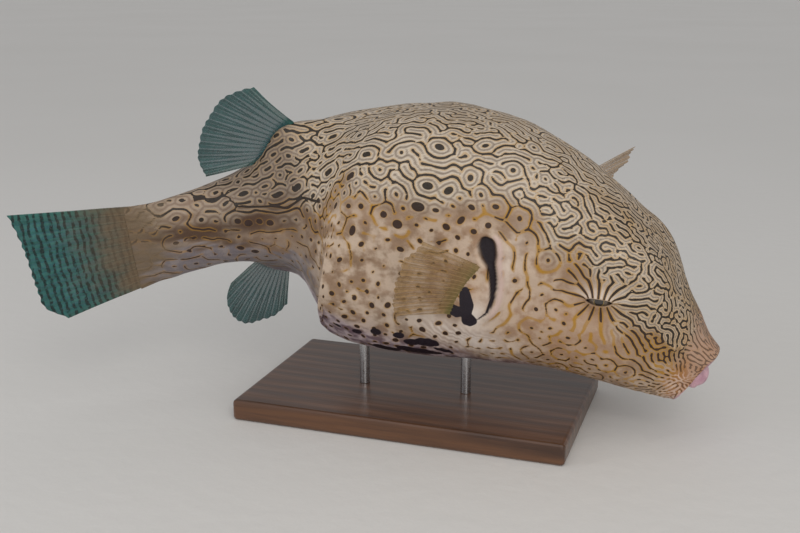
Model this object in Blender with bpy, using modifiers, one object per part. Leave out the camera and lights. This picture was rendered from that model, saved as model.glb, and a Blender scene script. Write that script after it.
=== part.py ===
# Map puffer on a plain display stand, life size, as a still model.
# The fish is shaped straight first, in millimetres: x forward from mid body, y to its left,
# z up. It is then bent at the tail, tipped nose down, and set over the stand in metres.
import math

import bmesh
import bpy
import numpy as np
from mathutils import Matrix, Vector
from mathutils.bvhtree import BVHTree

# Sizes of the fish, millimetres
SNOUT_X = 233.0
TAIL_X = -210.0
HEAD_END_X = 90.0
STALK_START_X = -80.0
JOINT_GAP = 0.35

# Pose
BEND_START_X = -30.0
BEND_LENGTH = 84.0
BEND_YAW = math.radians(40.0)
BEND_DROOP = math.radians(20.0)
CAUDAL_REACH = 160.0
NOSE_DOWN = math.radians(19.5)
LEAN = math.radians(7.0)

# Stand, millimetres
BASE_LENGTH = 250.0
BASE_WIDTH = 150.0
BASE_THICKNESS = 16.0
BASE_BEVEL = 3.0
SPINE_HEIGHT = 140.0
ROD_RADIUS = 4.0
ROD_PLACES = (("stand_rod_front", 36.0, -4.0), ("stand_rod_rear", -44.0, -8.0))
ROD_SOCKET_DEPTH = 9.0
HOLE_RUN_OUT = 20.0

# Fineness of the solids
RING_COUNT = 68
AROUND_COUNT = 40
RING_CROWDING = 1.4
SNOUT_TIP_LENGTH = 0.6
TAIL_TIP_LENGTH = 3.0

# Cross sections of the straight fish: x, top, bottom, half width, level of the widest point
SECTIONS = (
    (233.0, -8.0, -22.0, 8.0, -15.0),
    (224.0, 5.0, -37.0, 18.0, -15.0),
    (200.0, 29.0, -43.0, 30.0, -6.0),
    (166.0, 61.0, -47.0, 44.0, 5.0),
    (127.0, 83.0, -54.0, 51.0, 9.0),
    (84.0, 96.0, -69.0, 58.0, 6.0),
    (42.0, 102.0, -85.0, 64.0, 0.0),
    (0.0, 97.0, -99.0, 71.0, -8.0),
    (-34.0, 84.0, -105.0, 75.0, -14.0),
    (-66.0, 63.0, -97.0, 70.0, -14.0),
    (-92.0, 49.0, -78.0, 55.0, -6.0),
    (-118.0, 36.0, -50.0, 35.0, -4.0),
    (-160.0, 24.0, -41.0, 22.0, -6.0),
    (-210.0, 20.0, -47.0, 9.0, -11.0),
)
UPPER_SQUARENESS = 2.75
LOWER_SQUARENESS = 2.35
STALK_SQUARENESS = 2.1
ROUNDING_START_X = -40.0
ROUNDING_LENGTH = 60.0

# Soft swellings and hollows: middle, reach along each axis, push. Those on the left are
# made on both sides. The belly's fold is only on the right, inside the bend of the tail.
SWELLINGS = (
    ("brow", (163.0, 36.0, 56.0), (17.0, 14.0, 15.0), (1.5, 4.5, 5.0)),
    ("eye_hollow", (139.0, 46.0, 27.0), (14.0, 14.0, 12.0), (0.0, -3.5, 0.0)),
    ("upper_lip_roll", (228.0, 0.0, 0.0), (8.0, 16.0, 8.0), (3.5, 0.0, 3.0)),
    ("belly_fold", (-80.0, -58.0, -38.0), (18.0, 26.0, 40.0), (-15.0, -9.0, -8.0)),
    ("pectoral_base", (58.0, 62.0, 0.0), (10.0, 20.0, 19.0), (0.0, 4.5, 0.0)),
    ("dorsal_lobe", (-101.0, 0.0, 50.0), (15.0, 9.0, 26.0), (-6.0, 0.0, 15.0)),
    ("anal_lobe", (-119.0, 0.0, -50.0), (13.0, 8.0, 18.0), (-4.0, 0.0, -9.0)),
)

# Eye
EYE_X = 140.5
EYE_Z = 25.0
EYE_RADIUS = 11.0
EYE_DEPTH = 9.6
LID_THICKNESS = 1.6
SOCKET_GAP = 0.4
SLIT_HALF_LENGTH = 9.6
SLIT_HALF_HEIGHT = 3.4
SLIT_REACH = 17.0
SLIT_TILT = math.radians(14.0)

# Mouth
MOUTH_MIDDLE = (226.0, 0.0, -18.5)
MOUTH_TILT = math.radians(32.0)
LIP_RING_RADIUS = 10.0
LIP_THICKNESS = 7.5
LIP_FLATNESS = 0.75
MOUTH_LINE_OUT = 6.0
MOUTH_LINE_HALF = 13.4
MOUTH_LINE_HEIGHT = 0.9
MOUTH_LINE_DEPTH = 6.8
MOUTH_FLOOR_DEPTH = 4.5

# Nasal flaps, each side
NOSE_X = 200.5
NOSE_Z = 9.0
FLAP_HEIGHT = 4.2
FLAP_WIDTH = 2.4
FLAP_THICKNESS = 1.5
FLAP_SPREAD = 2.2
FLAP_RAKE = 0.4
FLAP_OUT_SHARE = 0.35

# Gill openings: a crescent of skin with a slot behind it
GILL_SPOTS = ((62.0, 42.0), (70.0, 29.0), (75.2, 17.0), (77.6, 3.0), (75.7, -9.0), (71.0, -21.0))
GILL_RIM_RADII = (1.0, 3.2, 3.6, 3.6, 3.2, 1.0)
GILL_SLOT_RADII = (3.6, 4.4, 2.6, 2.2, 1.8, 1.0)
GILL_SLOT_BACK = 5.4
GILL_RIM_SINK = 1.2
GILL_SLOT_LIFT = 0.2
GILL_POINTS = 13

# Fins: root from its front end to its rear end, outward direction, ray angles from the
# outward direction towards the rear end (degrees), ray lengths, sideways bow, and how far
# the tips of the first and last rays part sideways
FINS = (
    {
        "name": "caudal_fin",
        "root": ((-206.0, 0.0, 18.0), (-206.0, 0.0, -45.0)),
        "outward": (-1.0, 0.0, 0.0),
        "angles": (-9.5, 12.0),
        "lengths": (98.0, 93.0, 92.0, 92.0, 78.0),
        "bow": -6.0,
        "twist": 0.0,
        "rays": 11,
        "thick": (4.0, 0.8),
    },
    {
        "name": "dorsal_fin",
        "root": ((-98.0, 0.0, 62.0), (-122.0, 0.0, 36.0)),
        "outward": (-0.64, 0.0, 0.77),
        "angles": (-12.0, 50.0),
        "lengths": (38.0, 51.0, 53.0, 51.0, 42.0),
        "bow": 5.0,
        "twist": 0.0,
        "rays": 10,
        "thick": (3.2, 0.7),
    },
    {
        "name": "anal_fin",
        "root": ((-112.0, 0.0, -54.0), (-134.0, 0.0, -46.0)),
        "outward": (-0.45, 0.0, -0.9),
        "angles": (-10.0, 40.0),
        "lengths": (40.0, 54.0, 60.0, 50.0, 30.0),
        "bow": 4.0,
        "twist": 0.0,
        "rays": 9,
        "thick": (3.0, 0.7),
    },
    {
        "name": "pectoral_fin_right",
        "root": ((60.0, -62.0, 21.0), (52.0, -61.0, -21.0)),
        "outward": (-0.62, -0.78, 0.0),
        "angles": (-18.0, 2.0),
        "lengths": (66.0, 74.0, 70.0, 62.0, 50.0),
        "bow": -8.0,
        "twist": 0.0,
        "rays": 13,
        "thick": (3.0, 0.7),
    },
    {
        "name": "pectoral_fin_left",
        "root": ((62.0, 62.0, 21.0), (54.0, 61.0, -21.0)),
        "outward": (0.6, 0.8, 0.0),
        "angles": (-58.0, -46.0),
        "lengths": (92.0, 93.0, 86.0, 72.0, 55.0),
        "bow": 8.0,
        "twist": -8.0,
        "rays": 13,
        "thick": (3.0, 0.7),
    },
)
FIN_SINK = 9.0
FIN_ROWS = 8
THINNING_POWER = 0.6
EDGE_BOW_SHARE = 0.5
TWIST_POWER = 1.5
VALLEY_SHARE = 0.45
SCALLOP = 0.035
LEAST_FIN_THICKNESS = 0.5

MM = 0.001
MERGE_DISTANCE = 1e-6
BEND_STEPS = 400
BODY_STEP_LEAST = 1.5
SLOPE_STEP = 1.0
SLOPE_TURN = 0.02
TOOL_GAP = 0.3


def smooth_values(at, known_at, known):
    """Smooth curve through the known values that never overshoots them."""
    known_at = np.asarray(known_at, float)
    known = np.asarray(known, float)
    step = np.diff(known_at)
    slope = np.diff(known) / step
    tangent = np.zeros_like(known)
    weight_a = 2 * step[1:] + step[:-1]
    weight_b = step[1:] + 2 * step[:-1]
    same_way = slope[:-1] * slope[1:] > 0
    safe_a = np.where(same_way, slope[:-1], 1.0)
    safe_b = np.where(same_way, slope[1:], 1.0)
    mean = (weight_a + weight_b) / (weight_a / safe_a + weight_b / safe_b)
    tangent[1:-1] = np.where(same_way, mean, 0.0)
    tangent[0] = slope[0]
    tangent[-1] = slope[-1]
    at = np.clip(at, known_at[0], known_at[-1])
    cell = np.clip(np.searchsorted(known_at, at, side="right") - 1, 0, len(step) - 1)
    t = (at - known_at[cell]) / step[cell]
    start = known[cell] * (1 + 2 * t) * (1 - t) ** 2 + known[cell + 1] * t * t * (3 - 2 * t)
    bend = tangent[cell] * t * (1 - t) ** 2 + tangent[cell + 1] * t * t * (t - 1)
    return start + step[cell] * bend


def length_share(x):
    """How far back a section is: 0 at the snout, 1 at the tail, crowded at the snout."""
    return np.sqrt(np.clip((SNOUT_X - np.asarray(x, float)) / (SNOUT_X - TAIL_X), 0, 1))


def section_sizes(x):
    """Top, bottom, half width and widest level of the straight fish at x."""
    table = np.array(SECTIONS)
    at = length_share(table[:, 0])
    return [smooth_values(length_share(x), at, table[:, i]) for i in range(1, 5)]


def skin_point(x, angle):
    """Point of the straight fish's skin; angle 0 is its left side, a quarter turn is its back."""
    x = np.asarray(x, float)
    angle = np.asarray(angle, float)
    top, bottom, half_width, level = section_sizes(x)
    stalk = np.clip((ROUNDING_START_X - x) / ROUNDING_LENGTH, 0, 1)
    upper = 2 / (UPPER_SQUARENESS + (STALK_SQUARENESS - UPPER_SQUARENESS) * stalk)
    lower = 2 / (LOWER_SQUARENESS + (STALK_SQUARENESS - LOWER_SQUARENESS) * stalk)
    above = np.sin(angle) >= 0
    power = np.where(above, upper, lower)
    across = np.sign(np.cos(angle)) * np.abs(np.cos(angle)) ** power
    rise = np.abs(np.sin(angle)) ** power
    height = np.where(above, top - level, bottom - level)
    points = np.stack([x + 0 * across, half_width * across, level + height * rise], -1)
    return swell(points)


def swell(points):
    """The soft swellings and hollows, which fade out at the parting planes."""
    moved = points.copy()
    for _, middle, reach, push in SWELLINGS:
        for side in (1.0, -1.0) if middle[1] > 0 else (1.0,):
            mirror = np.array([1.0, side, 1.0])
            off = (points - np.array(middle) * mirror) / np.array(reach)
            share = np.exp(-0.5 * (off**2).sum(-1))
            moved += share[..., None] * np.array(push) * mirror
    return moved


def bend(points):
    """Turns the tail towards the fish's right and lets it droop."""
    flat = points.reshape(-1, 3)
    along = np.linspace(0, BEND_START_X - TAIL_X + CAUDAL_REACH, BEND_STEPS)
    turn = np.clip(along / BEND_LENGTH, 0, 1)
    turn = turn * turn * (3 - 2 * turn)
    yaw = BEND_YAW * turn
    droop = BEND_DROOP * turn
    heading = np.stack(
        [-np.cos(yaw) * np.cos(droop), -np.sin(yaw) * np.cos(droop), -np.sin(droop)], 1
    )
    steps = (heading[1:] + heading[:-1]) / 2 * (along[1] - along[0])
    spine = np.vstack([[0, 0, 0], np.cumsum(steps, 0)]) + [BEND_START_X, 0, 0]
    back = np.clip(BEND_START_X - flat[:, 0], 0, None)
    middle = np.stack([np.interp(back, along, spine[:, i]) for i in range(3)], 1)
    middle[:, 0] += np.clip(flat[:, 0] - BEND_START_X, 0, None)
    yaw = np.interp(back, along, yaw)
    droop = np.interp(back, along, droop)
    left = np.stack([-np.sin(yaw), np.cos(yaw), 0 * yaw], 1)
    up = np.stack(
        [-np.cos(yaw) * np.sin(droop), -np.sin(yaw) * np.sin(droop), np.cos(droop)], 1
    )
    return (middle + left * flat[:, 1:2] + up * flat[:, 2:3]).reshape(points.shape)


def place(points):
    """From the straight fish, millimetres, to its pose over the stand, metres."""
    bent = bend(np.asarray(points, float))
    x, y, z = bent[..., 0], bent[..., 1], bent[..., 2]
    y, z = (
        y * math.cos(LEAN) - z * math.sin(LEAN),
        y * math.sin(LEAN) + z * math.cos(LEAN),
    )
    x, z = (
        x * math.cos(NOSE_DOWN) + z * math.sin(NOSE_DOWN),
        -x * math.sin(NOSE_DOWN) + z * math.cos(NOSE_DOWN),
    )
    return np.stack([x, y, z + SPINE_HEIGHT], -1) * MM


def new_collection(name):
    group = bpy.data.collections.new(name)
    bpy.context.scene.collection.children.link(group)
    return group


def add_mesh(name, points, faces, group):
    """One mesh object with its faces pointing out."""
    mesh = bpy.data.meshes.new(name)
    mesh.from_pydata([tuple(p) for p in points], [], faces)
    shape = bmesh.new()
    shape.from_mesh(mesh)
    bmesh.ops.remove_doubles(shape, verts=shape.verts, dist=MERGE_DISTANCE)
    bmesh.ops.recalc_face_normals(shape, faces=shape.faces)
    if shape.calc_volume(signed=True) < 0:
        bmesh.ops.reverse_faces(shape, faces=shape.faces)
    shape.to_mesh(mesh)
    shape.free()
    obj = bpy.data.objects.new(name, mesh)
    group.objects.link(obj)
    return obj


def ring_places():
    share = np.linspace(0, 1, RING_COUNT) ** RING_CROWDING
    return SNOUT_X + (TAIL_X - SNOUT_X) * share


def body_length(name, front, rear, group, grow=0.0):
    """A closed length of the body between two sections, or to the snout or tail tip."""
    inner = [x for x in ring_places() if rear + BODY_STEP_LEAST < x < front - BODY_STEP_LEAST]
    places = [front] + inner + [rear]
    angles = np.arange(AROUND_COUNT) * 2 * math.pi / AROUND_COUNT
    grid = skin_point(np.array(places)[:, None], angles[None, :])
    front_middle = grid[0].mean(0)
    rear_middle = grid[-1].mean(0)
    if front == SNOUT_X:
        front_middle[0] += SNOUT_TIP_LENGTH
    if rear == TAIL_X:
        rear_middle[0] -= TAIL_TIP_LENGTH
    points = place(np.vstack([grid.reshape(-1, 3), [front_middle], [rear_middle]]))
    faces = []
    count = AROUND_COUNT
    for i in range(len(places) - 1):
        for j in range(count):
            a = i * count + j
            b = i * count + (j + 1) % count
            faces.append((a, b, b + count, a + count))
    tip = len(points) - 2
    for j in range(count):
        faces.append((tip, (j + 1) % count, j))
        last = (len(places) - 1) * count
        faces.append((tip + 1, last + j, last + (j + 1) % count))
    body = add_mesh(name, points, faces, group)
    if grow:
        for vertex in body.data.vertices:
            vertex.co += vertex.normal * grow * MM
    return body


def boolean(body, tools, operation):
    """Joins or cuts the body with closed tools in one step, then removes the tools."""
    group = new_collection("tools_for_" + body.name)
    for tool in tools:
        for old in tool.users_collection:
            old.objects.unlink(tool)
        group.objects.link(tool)
    step = body.modifiers.new("step", "BOOLEAN")
    step.operand_type = "COLLECTION"
    step.collection = group
    step.operation = operation
    step.solver = "EXACT"
    state = bpy.context.evaluated_depsgraph_get()
    mesh = bpy.data.meshes.new_from_object(body.evaluated_get(state))
    body.modifiers.clear()
    body.data = mesh
    for tool in tools:
        bpy.data.objects.remove(tool)
    bpy.data.collections.remove(group)
    keep_largest(body)


def keep_largest(body):
    """Keeps the largest closed surface of a mesh."""
    shape = bmesh.new()
    shape.from_mesh(body.data)
    bmesh.ops.triangulate(shape, faces=shape.faces)
    left = set(shape.faces)
    islands = []
    while left:
        island = set()
        front = [left.pop()]
        while front:
            face = front.pop()
            island.add(face)
            for edge in face.edges:
                for other in edge.link_faces:
                    if other in left:
                        left.remove(other)
                        front.append(other)
        islands.append(island)
    largest = max(islands, key=lambda faces: sum(face.calc_area() for face in faces))
    spare = [face for island in islands if island is not largest for face in island]
    bmesh.ops.delete(shape, geom=spare, context="FACES")
    loose = [vertex for vertex in shape.verts if not vertex.link_faces]
    bmesh.ops.delete(shape, geom=loose, context="VERTS")
    shape.to_mesh(body.data)
    shape.free()


def surface_spot(x, z, side, out=0.0):
    """Point on the straight fish's flank at a height, with its outward direction."""
    lo, hi = -0.5 * math.pi, 0.5 * math.pi
    for _ in range(40):
        mid = (lo + hi) / 2
        if skin_point(x, mid)[2] < z:
            lo = mid
        else:
            hi = mid
    here = skin_point(x, mid)
    ahead = skin_point(x + SLOPE_STEP, mid) - here
    above = skin_point(x, mid + SLOPE_TURN) - here
    normal = np.cross(above, ahead)
    normal /= np.linalg.norm(normal)
    if normal[1] < 0:
        normal = -normal
    spot = here + normal * out
    mirror = np.array([1.0, side, 1.0])
    return spot * mirror, normal * mirror


def placed_frame(spot, outward, along):
    """World frame at a spot of the straight fish: x along, z outward."""
    origin = place(spot)
    z_axis = Vector(place(spot + outward) - origin).normalized()
    x_axis = Vector(place(spot + along) - origin)
    x_axis = (x_axis - z_axis * x_axis.dot(z_axis)).normalized()
    frame = Matrix((x_axis, z_axis.cross(x_axis), z_axis)).transposed()
    return Vector(origin), frame


def put(obj, origin, frame, scale=(1.0, 1.0, 1.0)):
    """Scales a primitive, then turns and moves it, in its own mesh."""
    for vertex in obj.data.vertices:
        scaled = Vector(vertex.co[i] * scale[i] for i in range(3))
        vertex.co = frame @ scaled + origin
    return obj


def move_to(obj, name, group):
    obj.name = name
    obj.data.name = name
    for old in obj.users_collection:
        old.objects.unlink(obj)
    group.objects.link(obj)
    return obj


def ball(name, radius, group, segments=16, rings=10):
    bpy.ops.mesh.primitive_uv_sphere_add(segments=segments, ring_count=rings, radius=radius * MM)
    return move_to(bpy.context.object, name, group)


def rod_shape(name, radius, depth, group, sides=24):
    bpy.ops.mesh.primitive_cylinder_add(vertices=sides, radius=radius * MM, depth=depth * MM)
    return move_to(bpy.context.object, name, group)


def ring_shape(name, ring_radius, thickness, group, around=30, through=10):
    bpy.ops.mesh.primitive_torus_add(
        major_segments=around,
        minor_segments=through,
        major_radius=ring_radius * MM,
        minor_radius=thickness * MM,
    )
    return move_to(bpy.context.object, name, group)


def tube(name, path, radii, group):
    """A closed tube along world points, as a mesh with welded caps."""
    curve = bpy.data.curves.new(name, "CURVE")
    curve.dimensions = "3D"
    curve.bevel_depth = MM
    curve.bevel_resolution = 2
    curve.use_fill_caps = True
    line = curve.splines.new("POLY")
    line.points.add(len(path) - 1)
    for point, spot, radius in zip(line.points, path, radii):
        point.co = (*spot, 1.0)
        point.radius = radius
    holder = bpy.data.objects.new(name, curve)
    group.objects.link(holder)
    state = bpy.context.evaluated_depsgraph_get()
    mesh = bpy.data.meshes.new_from_object(holder.evaluated_get(state))
    bpy.data.objects.remove(holder)
    shape = bmesh.new()
    shape.from_mesh(mesh)
    bmesh.ops.remove_doubles(shape, verts=shape.verts, dist=MERGE_DISTANCE)
    bmesh.ops.recalc_face_normals(shape, faces=shape.faces)
    shape.to_mesh(mesh)
    shape.free()
    obj = bpy.data.objects.new(name, mesh)
    group.objects.link(obj)
    return obj


def eye_place(side):
    """Middle of the eyeball and its frame: x along the slit, z looking out."""
    spot, outward = surface_spot(EYE_X, EYE_Z, side)
    along = np.array([math.cos(SLIT_TILT), 0.0, math.sin(SLIT_TILT)])
    origin, frame = placed_frame(spot - outward * EYE_DEPTH, outward, along)
    return origin, frame


def add_lids(head, tools):
    """Lids stand over each eyeball as a low dome with a slit; the socket is hollow."""
    domes = []
    hollows = []
    for side in (1, -1):
        origin, frame = eye_place(side)
        dome = ball("lid_dome", EYE_RADIUS + LID_THICKNESS, tools, 24, 14)
        domes.append(put(dome, origin, frame))
        hollow = ball("socket", EYE_RADIUS + SOCKET_GAP, tools)
        hollows.append(put(hollow, origin, frame))
        slit = rod_shape("slit", 1.0, 1.0, tools, 20)
        slit_size = (SLIT_HALF_LENGTH, SLIT_HALF_HEIGHT, SLIT_REACH)
        outside = origin + frame.col[2] * (SLIT_REACH / 2 * MM)
        hollows.append(put(slit, outside, frame, slit_size))
    boolean(head, domes, "UNION")
    boolean(head, hollows, "DIFFERENCE")


def mouth_place():
    middle = np.array(MOUTH_MIDDLE)
    forward = np.array([math.cos(MOUTH_TILT), 0.0, -math.sin(MOUTH_TILT)])
    return middle, forward


def add_mouth(head, tools):
    """Fleshy lips round a closed mouth, parted by the line of the mouth."""
    middle, forward = mouth_place()
    origin, frame = placed_frame(middle, forward, np.array([0.0, 1.0, 0.0]))
    lips = ring_shape("lips", LIP_RING_RADIUS, LIP_THICKNESS, tools)
    put(lips, origin, frame, (1.0, LIP_FLATNESS, 1.0))
    inside = ball("mouth_floor", LIP_RING_RADIUS, tools, 16, 8)
    put(inside, origin, frame, (1.0, LIP_FLATNESS, MOUTH_FLOOR_DEPTH / LIP_RING_RADIUS))
    boolean(head, [lips, inside], "UNION")
    line = ball("mouth_line", 1.0, tools, 20, 8)
    front = origin + frame.col[2] * (MOUTH_LINE_OUT * MM)
    put(line, front, frame, (MOUTH_LINE_HALF, MOUTH_LINE_HEIGHT, MOUTH_LINE_DEPTH))
    boolean(head, [line], "DIFFERENCE")


def add_nasal_flaps(head, tools):
    """Each nasal organ is a pair of small upright flaps."""
    flaps = []
    for side in (1, -1):
        spot, outward = surface_spot(NOSE_X, NOSE_Z, side)
        for turn in (-1, 1):
            along = np.array([1.0, 0.0, FLAP_RAKE])
            at = spot + along / np.linalg.norm(along) * FLAP_SPREAD * turn
            origin, frame = placed_frame(at + outward * FLAP_OUT_SHARE * FLAP_HEIGHT, outward, along)
            flap = ball("flap", 1.0, tools, 10, 6)
            size = (FLAP_THICKNESS, FLAP_WIDTH, FLAP_HEIGHT)
            flaps.append(put(flap, origin, frame, size))
    boolean(head, flaps, "UNION")


def gill_tube(name, side, back, out, radii, tools, grow=0.0):
    """A tube that follows a gill opening on one side of the fish."""
    knots = np.linspace(0, 1, len(GILL_SPOTS))
    shares = np.linspace(0, 1, GILL_POINTS)
    spots = np.array(GILL_SPOTS)
    path = []
    for share in shares:
        x, z = (float(smooth_values(share, knots, spots[:, i])) for i in (0, 1))
        spot, _ = surface_spot(x - back, z, side, out)
        path.append(place(spot))
    return tube(name, path, smooth_values(shares, knots, radii) + grow, tools)


def gill_rim(side, tools, grow=0.0):
    return gill_tube("rim", side, 0.0, -GILL_RIM_SINK, GILL_RIM_RADII, tools, grow)


def add_gills(trunk, tools):
    """A raised rim ahead of each gill opening, and the slot behind it."""
    boolean(trunk, [gill_rim(side, tools) for side in (1, -1)], "UNION")
    slots = []
    for side in (1, -1):
        slot = gill_tube("slot", side, GILL_SLOT_BACK, GILL_SLOT_LIFT, GILL_SLOT_RADII, tools)
        slots.append(slot)
    boolean(trunk, slots, "DIFFERENCE")


def fin_grid(fin):
    """Points down each ray and each web between rays, with half thickness and side."""
    front, rear = (np.array(end) for end in fin["root"])
    outward = np.array(fin["outward"]) / np.linalg.norm(fin["outward"])
    along = rear - front
    span = np.linalg.norm(along)
    along = along / span
    outward = outward - along * outward.dot(along)
    outward /= np.linalg.norm(outward)
    side = np.cross(along, outward)
    columns = 2 * fin["rays"] - 1
    middle = np.zeros((FIN_ROWS + 1, columns, 3))
    half = np.zeros((FIN_ROWS + 1, columns))
    first, last = (math.radians(angle) for angle in fin["angles"])
    thick_root, thick_tip = fin["thick"]
    for j in range(columns):
        share = j / (columns - 1)
        web = j % 2
        knots = np.linspace(0, 1, len(fin["lengths"]))
        length = float(smooth_values(np.array([share]), knots, fin["lengths"])[0])
        length *= 1 - SCALLOP * web
        angle = first + (last - first) * share
        way = math.cos(angle) * outward + math.sin(angle) * along
        root = front + along * span * share
        for i in range(FIN_ROWS + 1):
            down = i / FIN_ROWS
            reach = -FIN_SINK + (length + FIN_SINK) * down
            outer = max(reach, 0.0) / length
            thickness = thick_root + (thick_tip - thick_root) * outer**THINNING_POWER
            thickness *= VALLEY_SHARE if web else 1.0
            half[i, j] = max(thickness, LEAST_FIN_THICKNESS) / 2
            bow = fin["bow"] * outer**2 * (1 - EDGE_BOW_SHARE * (2 * share - 1) ** 2)
            bow += fin["twist"] * outer**TWIST_POWER * (2 * share - 1)
            middle[i, j] = root + way * reach + side * bow
    return middle, half, side


def add_fin(fin, group):
    """A membrane with its rays raised in both faces, split alike on the two."""
    middle, half, side = fin_grid(fin)
    rows, columns = half.shape
    near = place(middle + side * half[..., None])
    far = place(middle - side * half[..., None])
    points = np.vstack([near.reshape(-1, 3), far.reshape(-1, 3)])
    offset = rows * columns
    faces = []
    for i in range(rows - 1):
        for j in range(columns - 1):
            a = i * columns + j
            b = a + 1
            c = a + columns
            d = c + 1
            split = ((a, b, d), (a, d, c)) if j % 2 else ((a, b, c), (b, d, c))
            for face in split:
                faces.append(face)
                faces.append(tuple(offset + k for k in reversed(face)))
    border = list(range(columns))
    border += [i * columns + columns - 1 for i in range(1, rows)]
    border += [(rows - 1) * columns + j for j in range(columns - 2, -1, -1)]
    border += [i * columns for i in range(rows - 2, 0, -1)]
    for a, b in zip(border, border[1:] + border[:1]):
        faces.append((b, a, offset + a))
        faces.append((b, offset + a, offset + b))
    return add_mesh(fin["name"], points, faces, group)


def add_stand(trunk, group, tools):
    """A flat base and two short rods let into the belly."""
    bpy.ops.mesh.primitive_cube_add(size=1.0)
    base = move_to(bpy.context.object, "stand_base", group)
    for vertex in base.data.vertices:
        vertex.co.x *= BASE_LENGTH * MM
        vertex.co.y *= BASE_WIDTH * MM
        vertex.co.z = (vertex.co.z + 0.5) * BASE_THICKNESS * MM
    corners = base.modifiers.new("corners", "BEVEL")
    corners.width = BASE_BEVEL * MM
    corners.segments = 3
    base_top = BASE_THICKNESS * MM
    tree = BVHTree.FromObject(trunk, bpy.context.evaluated_depsgraph_get())
    holes = []
    rods = []
    for name, x, y in ROD_PLACES:
        below = Vector((x * MM, y * MM, base_top))
        hit = tree.ray_cast(below, Vector((0.0, 0.0, 1.0)))[0]
        top = hit.z + ROD_SOCKET_DEPTH * MM
        foot = base_top + TOOL_GAP * MM
        rod = rod_shape(name, ROD_RADIUS, (top - foot) / MM, group)
        for vertex in rod.data.vertices:
            vertex.co += Vector((x * MM, y * MM, (top + foot) / 2))
        rods.append(rod)
        hole_low = hit.z - HOLE_RUN_OUT * MM
        hole_high = top + TOOL_GAP * MM
        hole = rod_shape("hole", ROD_RADIUS + TOOL_GAP, (hole_high - hole_low) / MM, tools)
        for vertex in hole.data.vertices:
            vertex.co += Vector((x * MM, y * MM, (hole_high + hole_low) / 2))
        holes.append(hole)
    boolean(trunk, holes, "DIFFERENCE")
    return [base] + rods


def finish(obj, stand_point, colour, roughness, metallic=0.0):
    """Own origin at the middle of the piece, smooth shading and the piece's own material."""
    corners = np.array([vertex.co for vertex in obj.data.vertices])
    middle = Vector((corners.min(0) + corners.max(0)) / 2)
    obj.data.transform(Matrix.Translation(-middle))
    obj.location = middle
    obj.parent = stand_point
    obj.data.shade_smooth()
    obj.data.set_sharp_from_angle(angle=math.radians(40.0))
    material = bpy.data.materials.new(obj.name)
    material.use_nodes = True
    shader = material.node_tree.nodes["Principled BSDF"]
    shader.inputs["Base Color"].default_value = (*colour, 1.0)
    shader.inputs["Roughness"].default_value = roughness
    shader.inputs["Metallic"].default_value = metallic
    obj.data.materials.clear()
    obj.data.materials.append(material)


def main():
    for old in list(bpy.data.objects):
        bpy.data.objects.remove(old)
    group = new_collection("map_puffer")
    tools = new_collection("cutters")

    head = body_length("head", SNOUT_X, HEAD_END_X, group)
    trunk_front = HEAD_END_X - JOINT_GAP
    trunk = body_length("trunk", trunk_front, STALK_START_X, group)
    stalk = body_length("tail_stalk", STALK_START_X - JOINT_GAP, TAIL_X, group)
    add_mouth(head, tools)
    add_nasal_flaps(head, tools)
    add_lids(head, tools)
    add_gills(trunk, tools)
    stand = add_stand(trunk, group, tools)

    eyes = []
    for name, side in (("eye_left", 1), ("eye_right", -1)):
        origin, frame = eye_place(side)
        eyes.append(put(ball(name, EYE_RADIUS, group), origin, frame))

    fins = []
    for fin in FINS:
        blade = add_fin(fin, group)
        on_stalk = fin["root"][0][0] < STALK_START_X
        front = STALK_START_X if on_stalk else trunk_front
        rear = TAIL_X if on_stalk else STALK_START_X
        cutters = [body_length("core", front, rear, tools, grow=TOOL_GAP)]
        if not on_stalk:
            side = math.copysign(1, fin["root"][0][1])
            cutters.append(gill_rim(side, tools, grow=2 * TOOL_GAP))
        boolean(blade, cutters, "DIFFERENCE")
        fins.append(blade)

    stand_point = bpy.data.objects.new("map_puffer_stand_point", None)
    group.objects.link(stand_point)
    for obj in (head, trunk, stalk):
        finish(obj, stand_point, (0.62, 0.50, 0.38), 0.5)
    for obj in fins:
        finish(obj, stand_point, (0.20, 0.32, 0.24), 0.45)
    for obj in eyes:
        finish(obj, stand_point, (0.05, 0.045, 0.03), 0.08)
    finish(stand[0], stand_point, (0.10, 0.055, 0.03), 0.45)
    for rod in stand[1:]:
        finish(rod, stand_point, (0.55, 0.55, 0.56), 0.3, 1.0)
    bpy.data.collections.remove(tools)


main()
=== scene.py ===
# Map puffer on a plain display stand, a still model at life size.
# The fish is shaped straight in millimetres, x forward from mid body, y to its left, z up,
# and is then bent at the tail, tipped nose down and set over the stand in metres.
import math
import bmesh
import bpy
import numpy as np
from mathutils import Euler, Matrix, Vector


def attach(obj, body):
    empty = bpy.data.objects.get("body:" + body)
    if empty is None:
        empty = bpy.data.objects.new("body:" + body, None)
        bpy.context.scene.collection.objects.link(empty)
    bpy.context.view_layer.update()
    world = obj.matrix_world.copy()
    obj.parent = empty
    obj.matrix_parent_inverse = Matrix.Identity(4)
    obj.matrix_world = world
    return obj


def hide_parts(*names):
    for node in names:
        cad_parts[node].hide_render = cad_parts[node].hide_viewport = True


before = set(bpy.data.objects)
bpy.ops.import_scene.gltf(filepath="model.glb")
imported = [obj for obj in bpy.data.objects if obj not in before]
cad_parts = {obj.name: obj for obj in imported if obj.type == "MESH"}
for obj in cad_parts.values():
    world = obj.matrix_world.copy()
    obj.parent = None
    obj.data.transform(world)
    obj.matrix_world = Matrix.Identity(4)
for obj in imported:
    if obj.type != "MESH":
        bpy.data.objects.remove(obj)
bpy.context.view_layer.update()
scene = bpy.context.scene
quarter = 0.5 * math.pi


def rise(value, low, high):
    # smooth step from 0 at low to 1 at high
    t = np.clip((value - low) / (high - low), 0, 1)
    return t * t * (3 - 2 * t)


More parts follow.
